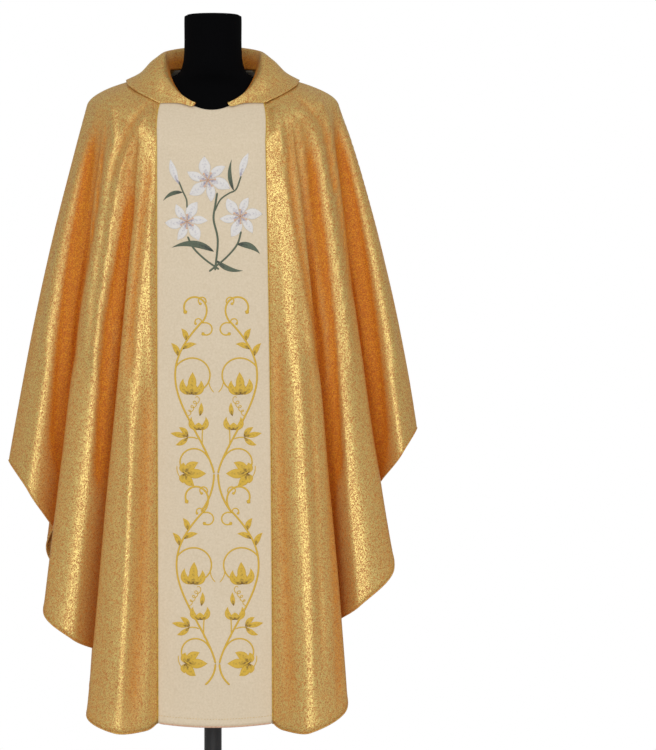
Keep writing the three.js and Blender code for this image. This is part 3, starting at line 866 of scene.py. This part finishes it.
def embroidery_thread(name, dark, light):
    """Rayon thread: `tone` runs from the shaded root of a stroke (0) to its lit edge (1)."""
    material = new_material(name)
    cloth_map = node(material, "ShaderNodeUVMap", uv_map="cloth")
    tone = node(material, "ShaderNodeAttribute", attribute_name="tone")
    stitches = node(
        material,
        "ShaderNodeTexWave",
        {"Vector": (cloth_map, "UV"), "Scale": 2 * math.pi / (20 * STITCH), "Distortion": 0.8},
        bands_direction="DIAGONAL",
    )
    uneven = node(
        material,
        "ShaderNodeTexNoise",
        {"Vector": (cloth_map, "UV"), "Scale": 0.25, "Detail": 2.0},
    )
    mixed = node(
        material,
        "ShaderNodeMath",
        {0: (uneven, "Fac"), 1: 1.0, 2: (tone, "Fac")},
        operation="MULTIPLY_ADD",
    )
    centred = node(material, "ShaderNodeMath", {0: (mixed, "Value"), 1: 0.55}, operation="SUBTRACT")
    colour = ramp(material, (centred, "Value"), (0.1, dark), (0.75, light))
    bump = node(
        material,
        "ShaderNodeBump",
        {"Height": (stitches, "Fac"), "Strength": 0.6, "Distance": 0.0004},
    )
    surface_of(
        material,
        Base_Color=(colour, "Color"),
        Roughness=0.4,
        Normal=(bump, "Normal"),
        Sheen_Weight=0.1,
        Anisotropic=0.4,
    )
    return material

# %% The seven colours
THREAD_COLOURS = {
    # name on the spool, shaded, lit
    "gold": ("old gold", "6E4A0A", "E6BC3C"),
    "green": ("grey green", "2E332C", "5E6A55"),
    "white": ("white", "9C94AA", "F0ECE8"),
    "peach": ("peach", "B97A5E", "E9BFA0"),
    "blue": ("royal blue", "14459C", "2C74D2"),
    "red": ("red", "8E1410", "CC2A20"),
    "silver": ("silver", "8C8A84", "D9D6CE"),
}
THREADS = {
    key: embroidery_thread("rayon thread, " + spool, dark, light)
    for key, (spool, dark, light) in THREAD_COLOURS.items()
}
print("threads:", ", ".join(THREADS))

# %% A padded stroke on a flat design
BURIED = 0.3  # mm that a stroke's underside lies below the cloth's face


def stroke(line, widths, height, under=0.0, groove=0.0, sides=8, flat=2.0):
    """Section: across = width cos a, lift = under + height (1 - |cos a|^flat)^0.5 on the upper half."""
    run = unit(np.gradient(line, axis=0))
    across = np.stack([-run[:, 1], run[:, 0]], axis=-1)
    a = FULL_TURN * np.arange(sides)[:, None] / sides
    c, upper = np.cos(a), np.sin(a) > -1e-9
    points = line[None] + (c * widths)[..., None] * across
    thin = np.sqrt(np.clip(widths / widths.max(), 0, 1))
    dome = np.sqrt(np.clip(1 - np.abs(c) ** flat, 0, 1)) - groove * np.exp(-((c / 0.3) ** 2))
    lift = np.where(upper, under + height * thin * dome, -BURIED)
    along = run_along(line)
    # Painted shade, carried in `tone`: darker along a blade's middle groove and towards its root, and
    # towards the sides of a stroke without a groove, such as a cord.
    painted_groove_and_side_shade = np.exp(-((c / 0.35) ** 2)) if groove else 0.45 * np.abs(c)
    root = smooth(along / along[-1] / 0.5) if groove else np.ones_like(along)
    tone = np.clip(1 - 0.8 * painted_groove_and_side_shade * (1.3 - 0.8 * root), 0, 1) * np.ones_like(lift)
    return {
        "flat": points,
        "lift": lift * np.ones(points.shape[:2]),
        "uv": np.stack(np.broadcast_arrays(along, c * widths), axis=-1),
        "tone": tone * (0.45 + 0.55 * root),
    }


# %% Cords, blades and copies
def cord(line, half_width, bulb=0.0, step=2.2):
    """A stem: even width with rounded ends, and a bulb of that radius at its end if it is a curl."""
    line, run = evenly(np.asarray(line, float), step)
    left = run[-1] - run
    widths = half_width + bulb * np.exp(-(((left - half_width - bulb) / max(bulb, 1.0)) ** 2))
    ends = np.sqrt(np.clip(np.minimum(run, left) / half_width, 0, 1))
    return stroke(line, widths * ends, min(1.1, 0.6 * half_width))


def blade(base, tip, half_width, lean=0.0, fullest=0.45, **section):
    """A leaf or petal: half-width sin(pi t^p) with its maximum at `fullest`, bent aside by `lean`."""
    base, tip = np.array(base, float), np.array(tip, float)
    t = np.linspace(0, 1, 15)
    chord = tip - base
    side = np.array([-chord[1], chord[0]])
    line = base + chord * t[:, None] + side * (lean * 4 * t * (1 - t))[:, None]
    power = math.log(0.5) / math.log(fullest)
    settings = {"height": 1.2, "groove": 0.35, "sides": 14, **section}
    return stroke(line, half_width * np.sin(math.pi * t**power), **settings)


def moved(strokes, turn_degrees=0.0, shift=(0.0, 0.0), scale=1.0, mirror=False):
    """The strokes mirrored, scaled, turned and shifted on the flat design."""
    c, s = math.cos(math.radians(turn_degrees)), math.sin(math.radians(turn_degrees))
    matrix = np.array([[c, s], [-s, c]]) * scale
    flip = np.array([-1.0 if mirror else 1.0, 1.0])
    return [{**one, "flat": one["flat"] * flip @ matrix + np.array(shift, float)} for one in strokes]


# %% Laying a design on a column
def on_column(name, x, z, lift):
    """Newton's method finds (share, v) where the column passes (x, z); then lift along the normal."""
    share = np.full(x.shape, 0.5)
    v = (KNEE["z"][0] - z) / (KNEE["z"][0] - COLUMNS[name]["z"])
    tiny = 1e-4
    for _ in range(7):
        here = column_point(name, share, v)
        by_share = (column_point(name, share + tiny, v) - here) / tiny
        by_v = (column_point(name, share, v + tiny) - here) / tiny
        dx, dz = x - here[..., 0], z - here[..., 2]
        size = by_share[..., 0] * by_v[..., 2] - by_v[..., 0] * by_share[..., 2]
        share = np.clip(share + (dx * by_v[..., 2] - dz * by_v[..., 0]) / size, 0, 1)
        v = np.clip(v + (dz * by_share[..., 0] - dx * by_share[..., 2]) / size, -0.9, 1)
    normal = unit(np.cross(by_share, by_v))
    return column_point(name, share, v) + normal * lift[..., None]


# %% Sewing a design to its column
def sew(name, column, strokes, thread_colour_and_painted_shade):
    """One mesh of all the strokes, laid on a column."""
    points, faces, uv, tone, count = [], [], [], [], 0
    for one in strokes:
        sides, places = one["lift"].shape
        points.append(np.concatenate([one["flat"], one["lift"][..., None]], axis=-1).reshape(-1, 3))
        faces.append(grid_faces(sides, places, ring=True) + count)
        uv.append(one["uv"].reshape(-1, 2))
        tone.append(one["tone"].ravel())
        count += sides * places
    flat = np.concatenate(points)
    laid = on_column(column, flat[:, 0], flat[:, 1], flat[:, 2])
    tones = {"tone": np.concatenate(tone)}
    uv = np.concatenate(uv)
    piece = make_piece(name, laid, np.concatenate(faces), THREADS[thread_colour_and_painted_shade], uv, tones)
    merged(piece, outwards=True)
    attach(piece, "root")
    print(name, len(strokes), "strokes,", len(piece.data.polygons), "faces")
    return piece


# %% [markdown]
# ## The vine
#
# The vine is a mirrored pair of stems with leaves, buds and tendrils, twice over. Half of a repeat is
# built and the rest is mirroring and shifting. A growing shoot bends ever tighter towards its tip, so
# one formula serves for every shoot: it leaves a place in some direction and turns by `sweep` degrees.
# Places are given as millimetres out from the middle and down from the top of the repeat. A direction
# of 0 degrees points outwards and 90 upwards. Below each repeat the stem runs on for a short stretch,
# which joins the two repeats and flares out at the bottom.

# %% The sizes of half a repeat
MAIN_STEM = {"bottom": 350, "top": 30, "foot": 4, "belly": 76, "skew": 1.35, "ends_at": 0.93}
STEM_FEET = table("length sweep", (80, 38), (48, 52))  # below the upper repeat, below the lower one
SHOOTS = table(
    "out down heading length sweep tighter half_width bulb",
    (28, 56, 128, 112, -262, 1.35, 1.8, 2.6),
    (20, 18, 105, 38, -290, 1.2, 1.3, 1.9),
    (28, 56, 95, 29, -250, 1.1, 1.2, 1.8),
    (28, 57, 160, 56, 260, 1.2, 1.4, 2.4),
    (79, 142, 128, 156, 262, 1.15, 1.5, 0),
    (14, 170, 270, 25, -50, 1.0, 1.0, 0),
    (26, 300, 84, 37, 12, 1.0, 1.2, 0),
    (35, 283, 30, 22, -45, 1.0, 1.2, 0),
    (14, 322, 66, 118, -245, 1.15, 1.5, 0),
    (76, 334, 280, 30, -60, 1.0, 0.9, 0),
)
SPRING = {"start": (40, 203), "end": (58, 236), "radius": 5.0, "loops": 4}
SINGLE_LEAVES = table(
    "out down heading length half_width lean",
    (58, 92, 68, 27, 5.6, 0.12),
    (74, 122, 62, 30, 5.6, 0.12),
    (66, 108, 160, 30, 5.2, -0.12),
    (32, 238, 96, 27, 4.6, 0.05),
)
LOBES = {
    # turn from the leaf's own heading, share of its size, half-width as a share of it, lean
    "tulip": [(-30, 0.8, 0.16, -0.26), (30, 0.76, 0.16, 0.26), (0, 1.0, 0.19, 0.0), (0, 0.6, 0.24, 0.0)],
    "calyx": [(-28, 1.0, 0.2, -0.26), (28, 1.0, 0.2, 0.26), (0, 0.5, 0.26, 0.0)],
    "spray": [(33, 0.72, 0.14, 0.1), (-44, 0.84, 0.14, -0.1), (0, 1.0, 0.15, 0.0)],
    "ivy": [
        (-92, 0.5, 0.17, -0.1),
        (96, 0.45, 0.17, 0.1),
        (-38, 0.82, 0.2, -0.1),
        (50, 0.72, 0.2, 0.1),
        (0, 1.0, 0.22, 0.0),
    ],
}
LEAF_GROUPS = [
    # kind, out, down, heading, size
    ("tulip", 48, 196, 93, 44),
    ("calyx", 34, 265, 90, 29),
    ("spray", 54, 278, 11, 36),
    ("ivy", 62, 350, 180, 43),
]


# %% Shoots and the main stem
def step_from(start, heading, length):
    """The place `length` away in that direction."""
    a = math.radians(heading)
    return np.array(start, float) + length * np.array([math.cos(a), math.sin(a)])


def shoot_line(start, heading, length, sweep, tighter):
    """Sum of short steps whose heading is heading + sweep t^tighter."""
    count = max(int(length / 1.5), 6)
    t = (np.arange(count) + 0.5) / count
    a = np.radians(heading + sweep * t**tighter)
    steps = np.stack([np.cos(a), np.sin(a)], axis=-1) * length / count
    return np.array(start, float) + np.concatenate([[(0.0, 0.0)], np.cumsum(steps, axis=0)])


def main_stem():
    """out = foot + belly sin(pi u^skew), where u runs from the bottom (0) to the top (1)."""
    u = np.linspace(0, MAIN_STEM["ends_at"], 160)
    out = MAIN_STEM["foot"] + MAIN_STEM["belly"] * np.sin(math.pi * u ** MAIN_STEM["skew"])
    return np.stack([out, -MAIN_STEM["bottom"] + (MAIN_STEM["bottom"] - MAIN_STEM["top"]) * u], axis=-1)


# %% The spring, the leaves and the whole half
def spring(start, end, radius, loops):
    """start + t (end - start) + radius (cos a - 1, sin a), with a = 2 pi loops t: a rolling circle."""
    t = np.linspace(0, 1, 24 * loops)
    a = FULL_TURN * loops * t
    ring = radius * np.stack([np.cos(a) - 1, np.sin(a)], axis=-1) * (1 - 0.4 * t[:, None])
    line = np.array(start) * (1, -1) + np.subtract(end, start) * (1, -1) * t[:, None] + ring
    return stroke(line, 0.8 * np.sqrt(np.clip(np.minimum(t, 1 - t) * 30, 0, 1)), 0.7, sides=6)


def leaf_group(kind, out, down, heading, size):
    """Blades from one root."""
    root = (out, -down)
    return [
        blade(root, step_from(root, heading + turn_by, size * length), half * size, lean, fullest=0.5)
        for turn_by, length, half, lean in LOBES[kind]
    ]


def vine_half():
    """Stems and leaves of half a repeat, as two lists of strokes."""
    stems = [cord(main_stem(), 1.9), spring(**SPRING)]
    for out, depth, heading, length, sweep, tighter, half_width, bulb in zip(*SHOOTS.values()):
        stems.append(cord(shoot_line((out, -depth), heading, length, sweep, tighter), half_width, bulb))
    leaves = []
    for out, depth, heading, length, half_width, lean in zip(*SINGLE_LEAVES.values()):
        root = (out, -depth)
        leaves.append(blade(root, step_from(root, heading, length), half_width, lean))
    for group in LEAF_GROUPS:
        leaves += leaf_group(*group)
    return stems, leaves


# %% Sewing both vines
VINES = {
    "front_panel": {"tops": (1047, 684), "middles": (10, 13), "scale": 0.982},
    "back_panel": {"tops": (1033, 664), "middles": (0, 0), "scale": 1.0},
}
half_stems, half_leaves = vine_half()
embroidery = {"front_panel": [], "back_panel": []}
for column, vine in VINES.items():
    stems, leaves = [], []
    for top_z, middle, length, sweep in zip(vine["tops"], vine["middles"], *STEM_FEET.values()):
        foot_at = (MAIN_STEM["foot"], -MAIN_STEM["bottom"])
        foot = cord(shoot_line(foot_at, 270, length, sweep, 1.0), 1.9)
        for mirror in (False, True):
            place_at = {"shift": (middle, top_z), "scale": vine["scale"], "mirror": mirror}
            stems += moved([*half_stems, foot], **place_at)
            leaves += moved(half_leaves, **place_at)
    short = column.split("_")[0]
    embroidery[column].append(sew(short + "_vine_stems", column, stems, "gold"))
    embroidery[column].append(sew(short + "_vine_leaves", column, leaves, "gold"))

# %% [markdown]
# ## The lilies in front
#
# A spray of three white lilies with two buds fills the place above the front vine. Each flower is six
# petals round a peach heart: three broad ones behind and three narrow ones in front.

# %% The spray in numbers
LILIES = [
    # x, z, radius, turn
    (-6, 1266, 46, 8),
    (-46, 1186, 43, -28),
    (56, 1196, 43, 36),
]
LILY_STEMS = [
    (2.0, [(12, 1242), (8, 1216), (5, 1190), (13, 1150), (8, 1092)]),
    (1.8, [(-45, 1158), (-34, 1136), (-12, 1114), (16, 1094)]),
    (1.8, [(58, 1168), (50, 1142), (28, 1116), (-4, 1090)]),
    (1.5, [(58, 1274), (48, 1248), (34, 1240), (18, 1228), (7, 1206)]),
    (1.5, [(-62, 1264), (-54, 1244), (-47, 1228), (-46, 1212)]),
]
LILY_LEAVES = [
    ((50, 1142), (94, 1124), 6, 0.14),
    ((6, 1128), (-76, 1136), 6.5, -0.14),
    ((44, 1245), (40, 1306), 4, 0.1),
    ((-54, 1242), (-92, 1226), 4, -0.15),
    ((10, 1112), (62, 1092), 5, -0.12),
]
LILY_BUDS = [((56, 1268), (72, 1318), 7), ((-60, 1256), (-78, 1306), 7)]
PETALS = {
    "behind": {"reach": 1.0, "half_width": 0.25, "under": 0.0},
    "in front": {"reach": 0.93, "half_width": 0.19, "under": 0.5},
}


# %% One lily
def lily(x, z, radius, turn_by):
    """Petals and heart of one flower; the front petals lie 0.5 mm over the back ones."""
    middle = (x, z)
    petals, heart = {"behind": [], "in front": []}, []
    for k in range(6):
        heading = turn_by + 60 * k + 90
        layer = "in front" if k % 2 else "behind"
        shape = PETALS[layer]
        tip = step_from(middle, heading, radius * shape["reach"])
        half = radius * shape["half_width"]
        petals[layer].append(blade(middle, tip, half, 0.06, fullest=0.55, under=shape["under"]))
        anther = step_from(middle, heading + 26, 0.36 * radius)
        heart.append(cord([middle, anther], 0.9, 1.6, step=1.2))
    for one in heart:
        one["lift"] = np.where(one["lift"] > 0, one["lift"] + 1.4, one["lift"])
    return petals["behind"] + petals["in front"], heart


# %% Sewing the lilies
white, peach = [], []
for flower in LILIES:
    petals, heart = lily(*flower)
    white += petals
    peach += heart
for base_at, tip_at, half in LILY_BUDS:
    white.append(blade(base_at, tip_at, half, 0.05, fullest=0.55))
green = [cord(smooth_line(line, 2)[0], width) for width, line in LILY_STEMS]
green += [blade(base_at, tip_at, half, lean, fullest=0.4) for base_at, tip_at, half, lean in LILY_LEAVES]
LILY_PARTS = {"petals": (white, "white"), "hearts": (peach, "peach"), "greens": (green, "green")}
for kind, (strokes, colour) in LILY_PARTS.items():
    embroidery["front_panel"].append(sew("lily_" + kind, "front_panel", strokes, colour))

# %% [markdown]
# ## The rosette behind
#
# The back has a round rosette: a blue disc with a gold star in it, inside a wreath of red and silver
# petals, with scrolls above and below.

# %% Discs, hoops and spokes
ROSETTE = {"z": 1190, "disc": 58, "star": 50, "wreath_from": 62, "wreath_to": 91, "petals": 16}


def disc(radius, height, **section):
    """A stroke whose half-width is that of a circle: radius sin(a) at -radius cos(a)."""
    a = np.linspace(0, math.pi, 41)
    line = np.stack([np.zeros_like(a), -radius * np.cos(a)], axis=-1)
    return stroke(line, radius * np.sin(a), height, sides=40, flat=8, **section)


def hoop(radius, half_width):
    """A cord all the way round."""
    a = np.linspace(0, FULL_TURN, 97)
    return cord(np.stack([radius * np.sin(a), -radius * np.cos(a)], axis=-1), half_width)


def spoke(degrees, near, far, half, **section):
    """A petal that points away from the rosette's middle."""
    a = math.radians(degrees)
    heading = np.array([math.sin(a), math.cos(a)])
    return blade(heading * near, heading * far, half, fullest=0.55, **section)


# %% Building the rosette
scrolls = [
    cord(shoot_line((0, 94), 60, 74, -330, 1.2), 1.8, 2.6),
    cord(shoot_line((12, 93), -10, 62, 300, 1.3), 1.6, 2.4),
]
rosette = {
    "blue": [disc(ROSETTE["disc"], 0.7)],
    "gold": [hoop(ROSETTE["disc"], 2.2), hoop(ROSETTE["wreath_to"] + 4, 1.5)],
    "red": [],
    "silver": [],
}
for k in range(8):
    rosette["gold"].append(spoke(45 * k, 8, ROSETTE["star"], 8.5, under=0.7))
    rosette["silver"].append(spoke(45 * k + 22.5, 22, ROSETTE["star"] - 4, 4, under=0.7))
for k in range(ROSETTE["petals"]):
    petal = spoke(360 / ROSETTE["petals"] * k, ROSETTE["wreath_from"], ROSETTE["wreath_to"], 9)
    rosette["red" if k % 2 else "silver"].append(petal)
rosette["red"].append(disc(9, 1.0, under=1.4))
for half_turn in (0, 180):
    for mirror in (False, True):
        rosette["gold"] += moved(scrolls, turn_degrees=half_turn, mirror=mirror)
    rosette["red"] += moved([spoke(0, 98, 126, 6)], turn_degrees=half_turn)
for colour, strokes in rosette.items():
    placed = moved(strokes, shift=(0, ROSETTE["z"]))
    embroidery["back_panel"].append(sew("rosette_" + colour, "back_panel", placed, colour))

# %% [markdown]
# ## Hems and edging
#
# The lame is rolled at its hem and stitched 12 mm above it, and a narrow gold cord covers each seam of
# the columns. Each is a tube along a line of the cloth's own grid, so it can't come away from it.


# %% Tubes along the cloth
def tube(line, up, across_radius, up_radius, sides=8):
    """Points line + across r1 cos a + up r2 sin a; (side, ..., place, 3). It tapers shut at both ends."""
    run = unit(np.gradient(line, axis=-2))
    across = unit(np.cross(run, up))
    n = line.shape[-2]
    t = np.linspace(0, 1, n)
    shut = np.sqrt(np.clip(np.minimum(t, 1 - t) * n / 2, 0, 1))[:, None]
    a = (FULL_TURN * np.arange(sides) / sides).reshape(-1, *[1] * line.ndim)
    return line + shut * (across_radius * np.cos(a) * across + up_radius * np.sin(a) * up)


TUBE_SHADES = {"tone": 0.7, "fold_shade": 0.3}


def tubes_piece(name, tubes, material):
    """One mesh of all the tubes, each of shape (side, place, 3)."""
    faces, count = [], 0
    for one in tubes:
        faces.append(grid_faces(one.shape[0], one.shape[1], ring=True) + count)
        count += one.shape[0] * one.shape[1]
    points = np.concatenate([one.reshape(-1, 3) for one in tubes])
    shades = {label: np.full(len(points), value) for label, value in TUBE_SHADES.items()}
    piece = make_piece(name, points, np.concatenate(faces), material, points[:, [2, 0]], shades)
    merged(piece, outwards=True)
    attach(piece, "root")
    return piece


def stitches_along(line, up, long, gap):
    """Short tubes along a line: `long` millimetres of thread, then a gap."""
    run = run_along(line)
    starts = np.arange(gap, run[-1] - long, long + gap)
    places = starts[:, None] + np.linspace(0, long, 4)
    ups = unit(at_places(places, run, up))
    path = at_places(places, run, line) + 0.15 * ups
    return np.swapaxes(tube(path, ups, 0.45, 0.35, sides=6), 0, 1)


# %% Hem rolls, hem stitches and seam cords
HEM_ALLOWANCE = 12  # mm
HEM_STITCH = {"long": 4.0, "gap": 1.5}  # mm
hem_rolls, hem_stitches, seam_cords = {}, {}, {}
for name, grid in {**side_grids, **column_grids}.items():
    normals = normals_of(grid)
    roll = tube(grid[:, -1] + normals[:, -1] * -0.8, normals[:, -1], 1.5, 1.7)
    hem_cloth = gold_lame if name in side_grids else THREADS["peach"]
    hem_rolls[name] = tubes_piece(name + "_hem_roll", [roll], hem_cloth)
    depth = np.linalg.norm(grid - grid[:, -1:], axis=-1)
    row = np.abs(depth - HEM_ALLOWANCE).argmin(axis=1)
    pick = np.arange(grid.shape[0])
    stitched = stitches_along(grid[pick, row], normals[pick, row], **HEM_STITCH)
    hem_stitches[name] = tubes_piece(name + "_hem_stitches", list(stitched), THREADS["gold"])
for name, grid in column_grids.items():
    normals = normals_of(grid)
    tubes = [tube(grid[i] + 0.3 * normals[i], normals[i], 0.8, 0.7) for i in (0, -1)]
    seam_cords[name] = tubes_piece(name + "_seam_cords", tubes, THREADS["gold"])
print("hems and cords made")

# %% [markdown]
# ## The dress form
#
# The form under the garment is a foam or fibreglass torso in black jersey. It could be sculpted, but a
# stack of ovals is enough for something that shows only its neck. A smooth curve through the sections
# makes it round. Jersey is knitted cotton, so it is matt. Powder coat is baked paint: it shines softly
# and has a fine orange-peel texture.

# %% Black jersey and black powder coat
def fine_grain(name, scale, detail, dark, light, strength, distance, **surface):
    """A material whose colour and height both follow one fine noise."""
    material = new_material(name)
    where = node(material, "ShaderNodeTexCoord")
    noise = {"Vector": (where, "Object"), "Scale": scale, "Detail": detail}
    grain = node(material, "ShaderNodeTexNoise", noise)
    colour = ramp(material, (grain, "Fac"), (0.3, dark), (0.7, light))
    relief = {"Height": (grain, "Fac"), "Strength": strength, "Distance": distance}
    bump = node(material, "ShaderNodeBump", relief)
    surface_of(material, Base_Color=(colour, "Color"), Normal=(bump, "Normal"), **surface)
    return material


JERSEY = {"Roughness": 0.9, "Specular_IOR_Level": 0.05}
COAT = {"Roughness": 0.45}
black_jersey = fine_grain("black cotton jersey", 700.0, 2.0, "040405", "08080A", 0.3, 0.0004, **JERSEY)
powder_coat = fine_grain(
    "black powder coat on steel", 900.0, 1.0, "1E1E20", "28282B", 0.2, 0.0003, **COAT
)

# %% The torso's sections
TORSO = table(
    "z wide front back",
    (1594, 50, 50, 50),
    (1591, 54, 54, 54),
    (1585, 56, 56, 56),
    (1530, 56, 56, 57),
    (1498, 59, 58, 61),
    (1478, 70, 54, 64),
    (1462, 104, 46, 70),
    (1446, 160, 46, 77),
    (1428, 204, 60, 84),
    (1402, 226, 82, 94),
    (1370, 228, 98, 100),
    (1330, 222, 112, 101),
    (1260, 204, 118, 98),
    (1160, 176, 108, 90),
    (1060, 158, 96, 86),
    (960, 164, 98, 92),
    (880, 174, 102, 98),
    (838, 172, 100, 96),
    (830, 164, 92, 88),
)
TORSO_GRID = {"sides": 96, "rows_between": 5}
TORSO_CURVES = ("wide", "front", "back", "z")


# %% The torso's surface
def turned_mesh(name, grid, material):
    """A closed mesh from a grid that goes all the way round the axis, (side, row, 3)."""
    return merged(make_piece(name, grid, grid_faces(*grid.shape[:2], ring=True), material))


torso_rows = {**TORSO, "k": np.arange(len(TORSO["z"]), dtype=float)}
last_row = torso_rows["k"][-1]
torso_step = np.linspace(0, last_row, int(last_row) * TORSO_GRID["rows_between"] + 1)
turn = -FULL_TURN * np.arange(TORSO_GRID["sides"]) / TORSO_GRID["sides"]
turn, step_at = np.meshgrid(turn, torso_step, indexing="ij")
wide, front, back, height = (curve(torso_rows, "k", key, step_at) for key in TORSO_CURVES)
reach = np.where(np.sin(turn) < 0, front, back)
torso_grid = np.stack([wide * np.cos(turn), reach * np.sin(turn), height], axis=-1)
caps = [np.broadcast_to((0, 0, TORSO["z"][end]), (len(turn), 1, 3)) for end in (0, -1)]
torso_grid = np.concatenate([caps[0], torso_grid, caps[1]], axis=1)
stands_in(turned_mesh("form_cover", torso_grid, black_jersey), "form_torso")
print("torso grid", torso_grid.shape)

# %% [markdown]
# ## The stand
#
# The pole and the base are turned pieces. The base has a rounded rim, a flange holds the pole, and a
# socket at its top carries the torso. Flange and socket are rings, so their profiles end where they
# began.

# %% Turned pieces
TURN_SIDES = 96


def turned_piece(name, profile, material):
    """A profile of (radius, height) rows, from the top down, carried round the axis."""
    radius, height_at = np.array(profile, float).T
    angle = -FULL_TURN * np.arange(TURN_SIDES)[:, None] / TURN_SIDES
    z = np.broadcast_to(height_at, (TURN_SIDES, len(height_at)))
    points = np.stack([radius * np.cos(angle), radius * np.sin(angle), z], axis=-1)
    piece = turned_mesh(name, points, material)
    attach(piece, "root")
    return piece


def with_round_edges(profile, radius, steps=5):
    """The same profile with each inner corner replaced by a short arc of about that radius."""
    corners = np.array(profile, float)
    out = [corners[:1]]
    for before, corner, after in zip(corners[:-2], corners[1:-1], corners[2:]):
        near = min(radius, np.linalg.norm(before - corner) / 2, np.linalg.norm(after - corner) / 2)
        a = corner + unit(before - corner) * near
        b = corner + unit(after - corner) * near
        t = np.linspace(0, 1, steps)[:, None]
        out.append(a * (1 - t) ** 2 + corner * 2 * t * (1 - t) + b * t * t)
    out.append(corners[-1:])
    return np.concatenate(out)


# %% Turning the stand
POLE = [(0, 829.7), (17, 829.7), (17, 26.3), (0, 26.3)]
BASE = [(0, 26), (70, 26), (209, 16), (215, 12), (215, 0), (0, 0)]
FLANGE = [(17.2, 58), (21, 58), (24, 55), (24, 36), (46, 30), (48, 26.2), (17.2, 26.2), (17.2, 58)]
SOCKET = [(17.2, 829.6), (60, 829.6), (60, 825), (30, 819), (24, 790), (17.2, 788), (17.2, 829.6)]
pole = turned_piece("pole", with_round_edges(POLE, 0.8), powder_coat)
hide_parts("stand_pole")
base = turned_piece("base", with_round_edges(BASE, 3), powder_coat)
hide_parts("stand_base")
turned_piece("pole_flange", with_round_edges(FLANGE, 2), powder_coat)
turned_piece("torso_socket", with_round_edges(SOCKET, 2), powder_coat)
print("stand turned")

# %% [markdown]
# ## Floor, light and camera
#
# The floor is a pale disc, small enough to leave the garment free against white air from every side.
# Metal is a mirror of sorts: it shows the shape of its lights, so they are large. Two soft boxes stand
# in front, on either side of the camera, and draw the long pale bands on the folds. Two tall strips
# higher up and a dim lamp overhead do the same on the chest and shoulders, and two boxes behind light
# the back. The air is white to the camera but lights the cloth with less than half of that, or the
# gold would wash out.

# %% The floor
paper = new_material("pale floor board, matt paint")
surface_of(paper, Base_Color=linear("F4F4F4"), Roughness=0.9)
FLOOR = {"radius": 1600, "sides": 96, "rings": 5}
floor_turn = FULL_TURN * np.arange(FLOOR["sides"])[:, None] / FLOOR["sides"]
floor_reach = np.linspace(0, FLOOR["radius"], FLOOR["rings"])
floor_x, floor_y = floor_reach * np.cos(floor_turn), floor_reach * np.sin(floor_turn)
floor_points = np.stack([floor_x, floor_y, np.zeros_like(floor_x)], axis=-1)
floor_faces = grid_faces(*floor_x.shape, ring=True)[:, ::-1]  # turned over, to face up
merged(make_piece("floor", floor_points, floor_faces, paper))

# %% The lights
LIGHTS = [
    # name, place in metres, width and height in metres, watts
    ("softbox_left", (-1.4, -6.5, 1.3), (1.9, 1.9), 62),
    ("softbox_right", (1.9, -6.5, 1.2), (1.9, 1.9), 54),
    ("strip_left", (-2.0, -3.8, 3.6), (0.9, 2.8), 16),
    ("strip_right", (2.1, -3.8, 3.6), (0.9, 2.8), 16),
    ("overhead", (0.0, -1.9, 4.3), (2.8, 1.0), 9),
    ("back_left", (-1.7, 6.5, 1.3), (1.4, 1.4), 50),
    ("back_right", (1.7, 6.5, 1.3), (1.4, 1.4), 50),
]
AIM = (0.0, 0.0, 0.95)
AIR = {"seen": 1.0, "lights": 0.42}


# %% Hanging the lights
def facing(place_at, target):
    """Turn, as Euler angles, that points a light's -Z from one place to another."""
    dx, dy, dz = np.subtract(target, place_at)
    return (math.atan2(math.hypot(dx, dy), -dz), 0, math.atan2(-dx, dy))


for name, place_at, (width, height), watts in LIGHTS:
    lamp = bpy.data.lights.new(name, "AREA")
    lamp.shape = "RECTANGLE"
    lamp.size = width
    lamp.size_y = height
    lamp.energy = watts
    lamp_object = bpy.data.objects.new(name, lamp)
    lamp_object.location = place_at
    lamp_object.rotation_euler = facing(place_at, AIM)
    bpy.context.scene.collection.objects.link(lamp_object)

# %% White air
world = bpy.data.worlds.new("studio air")
world.use_nodes = True
ray = node(world, "ShaderNodeLightPath")
strength = node(
    world,
    "ShaderNodeMath",
    {0: (ray, "Is Camera Ray"), 1: AIR["seen"] - AIR["lights"], 2: AIR["lights"]},
    operation="MULTIPLY_ADD",
)
background = world.node_tree.nodes["Background"]
background.inputs["Color"].default_value = (1, 1, 1, 1)
world.node_tree.links.new(strength.outputs["Value"], background.inputs["Strength"])
bpy.context.scene.world = world
bpy.context.scene.view_settings.view_transform = "Standard"

# %% The camera
FRAME_HEIGHT = 1.4625  # metres that the picture's height covers at the garment
CAMERA_DISTANCE = 8.0
camera_data = bpy.data.cameras.new("camera")
camera_data.lens = camera_data.sensor_width * CAMERA_DISTANCE / FRAME_HEIGHT
camera_data.clip_end = 60
camera = bpy.data.objects.new("camera", camera_data)
camera.location = (0.2243, -CAMERA_DISTANCE, 0.892)
camera.rotation_euler = (math.pi / 2, 0, 0)
bpy.context.scene.collection.objects.link(camera)
bpy.context.scene.camera = camera
print("lens %.1f mm" % camera_data.lens)

# %% [markdown]
# ## What each cloth was cut from
#
# Each sheet's flat size is listed. The side pieces are not rectangles, so their area is given too.

# %% The sheets' flat sizes
CUTS = {
    # breadth and length in metres, area in square metres
    "front_right": {"flat": (0.72, 1.3), "area": 0.44},
    "front_left": {"flat": (0.7, 1.3), "area": 0.425},
    "back_right": {"flat": (0.68, 1.35), "area": 0.395},
    "back_left": {"flat": (0.68, 1.35), "area": 0.4},
    "front_panel": {"flat": (0.225, 1.22), "area": 0.264},
    "back_panel": {"flat": (0.225, 1.32), "area": 0.284},
}
for name, cut in CUTS.items():
    sewn_on = [hem_rolls[name], hem_stitches[name]]
    if name in column_pieces:
        sewn_on += [seam_cords[name], *embroidery[name]]
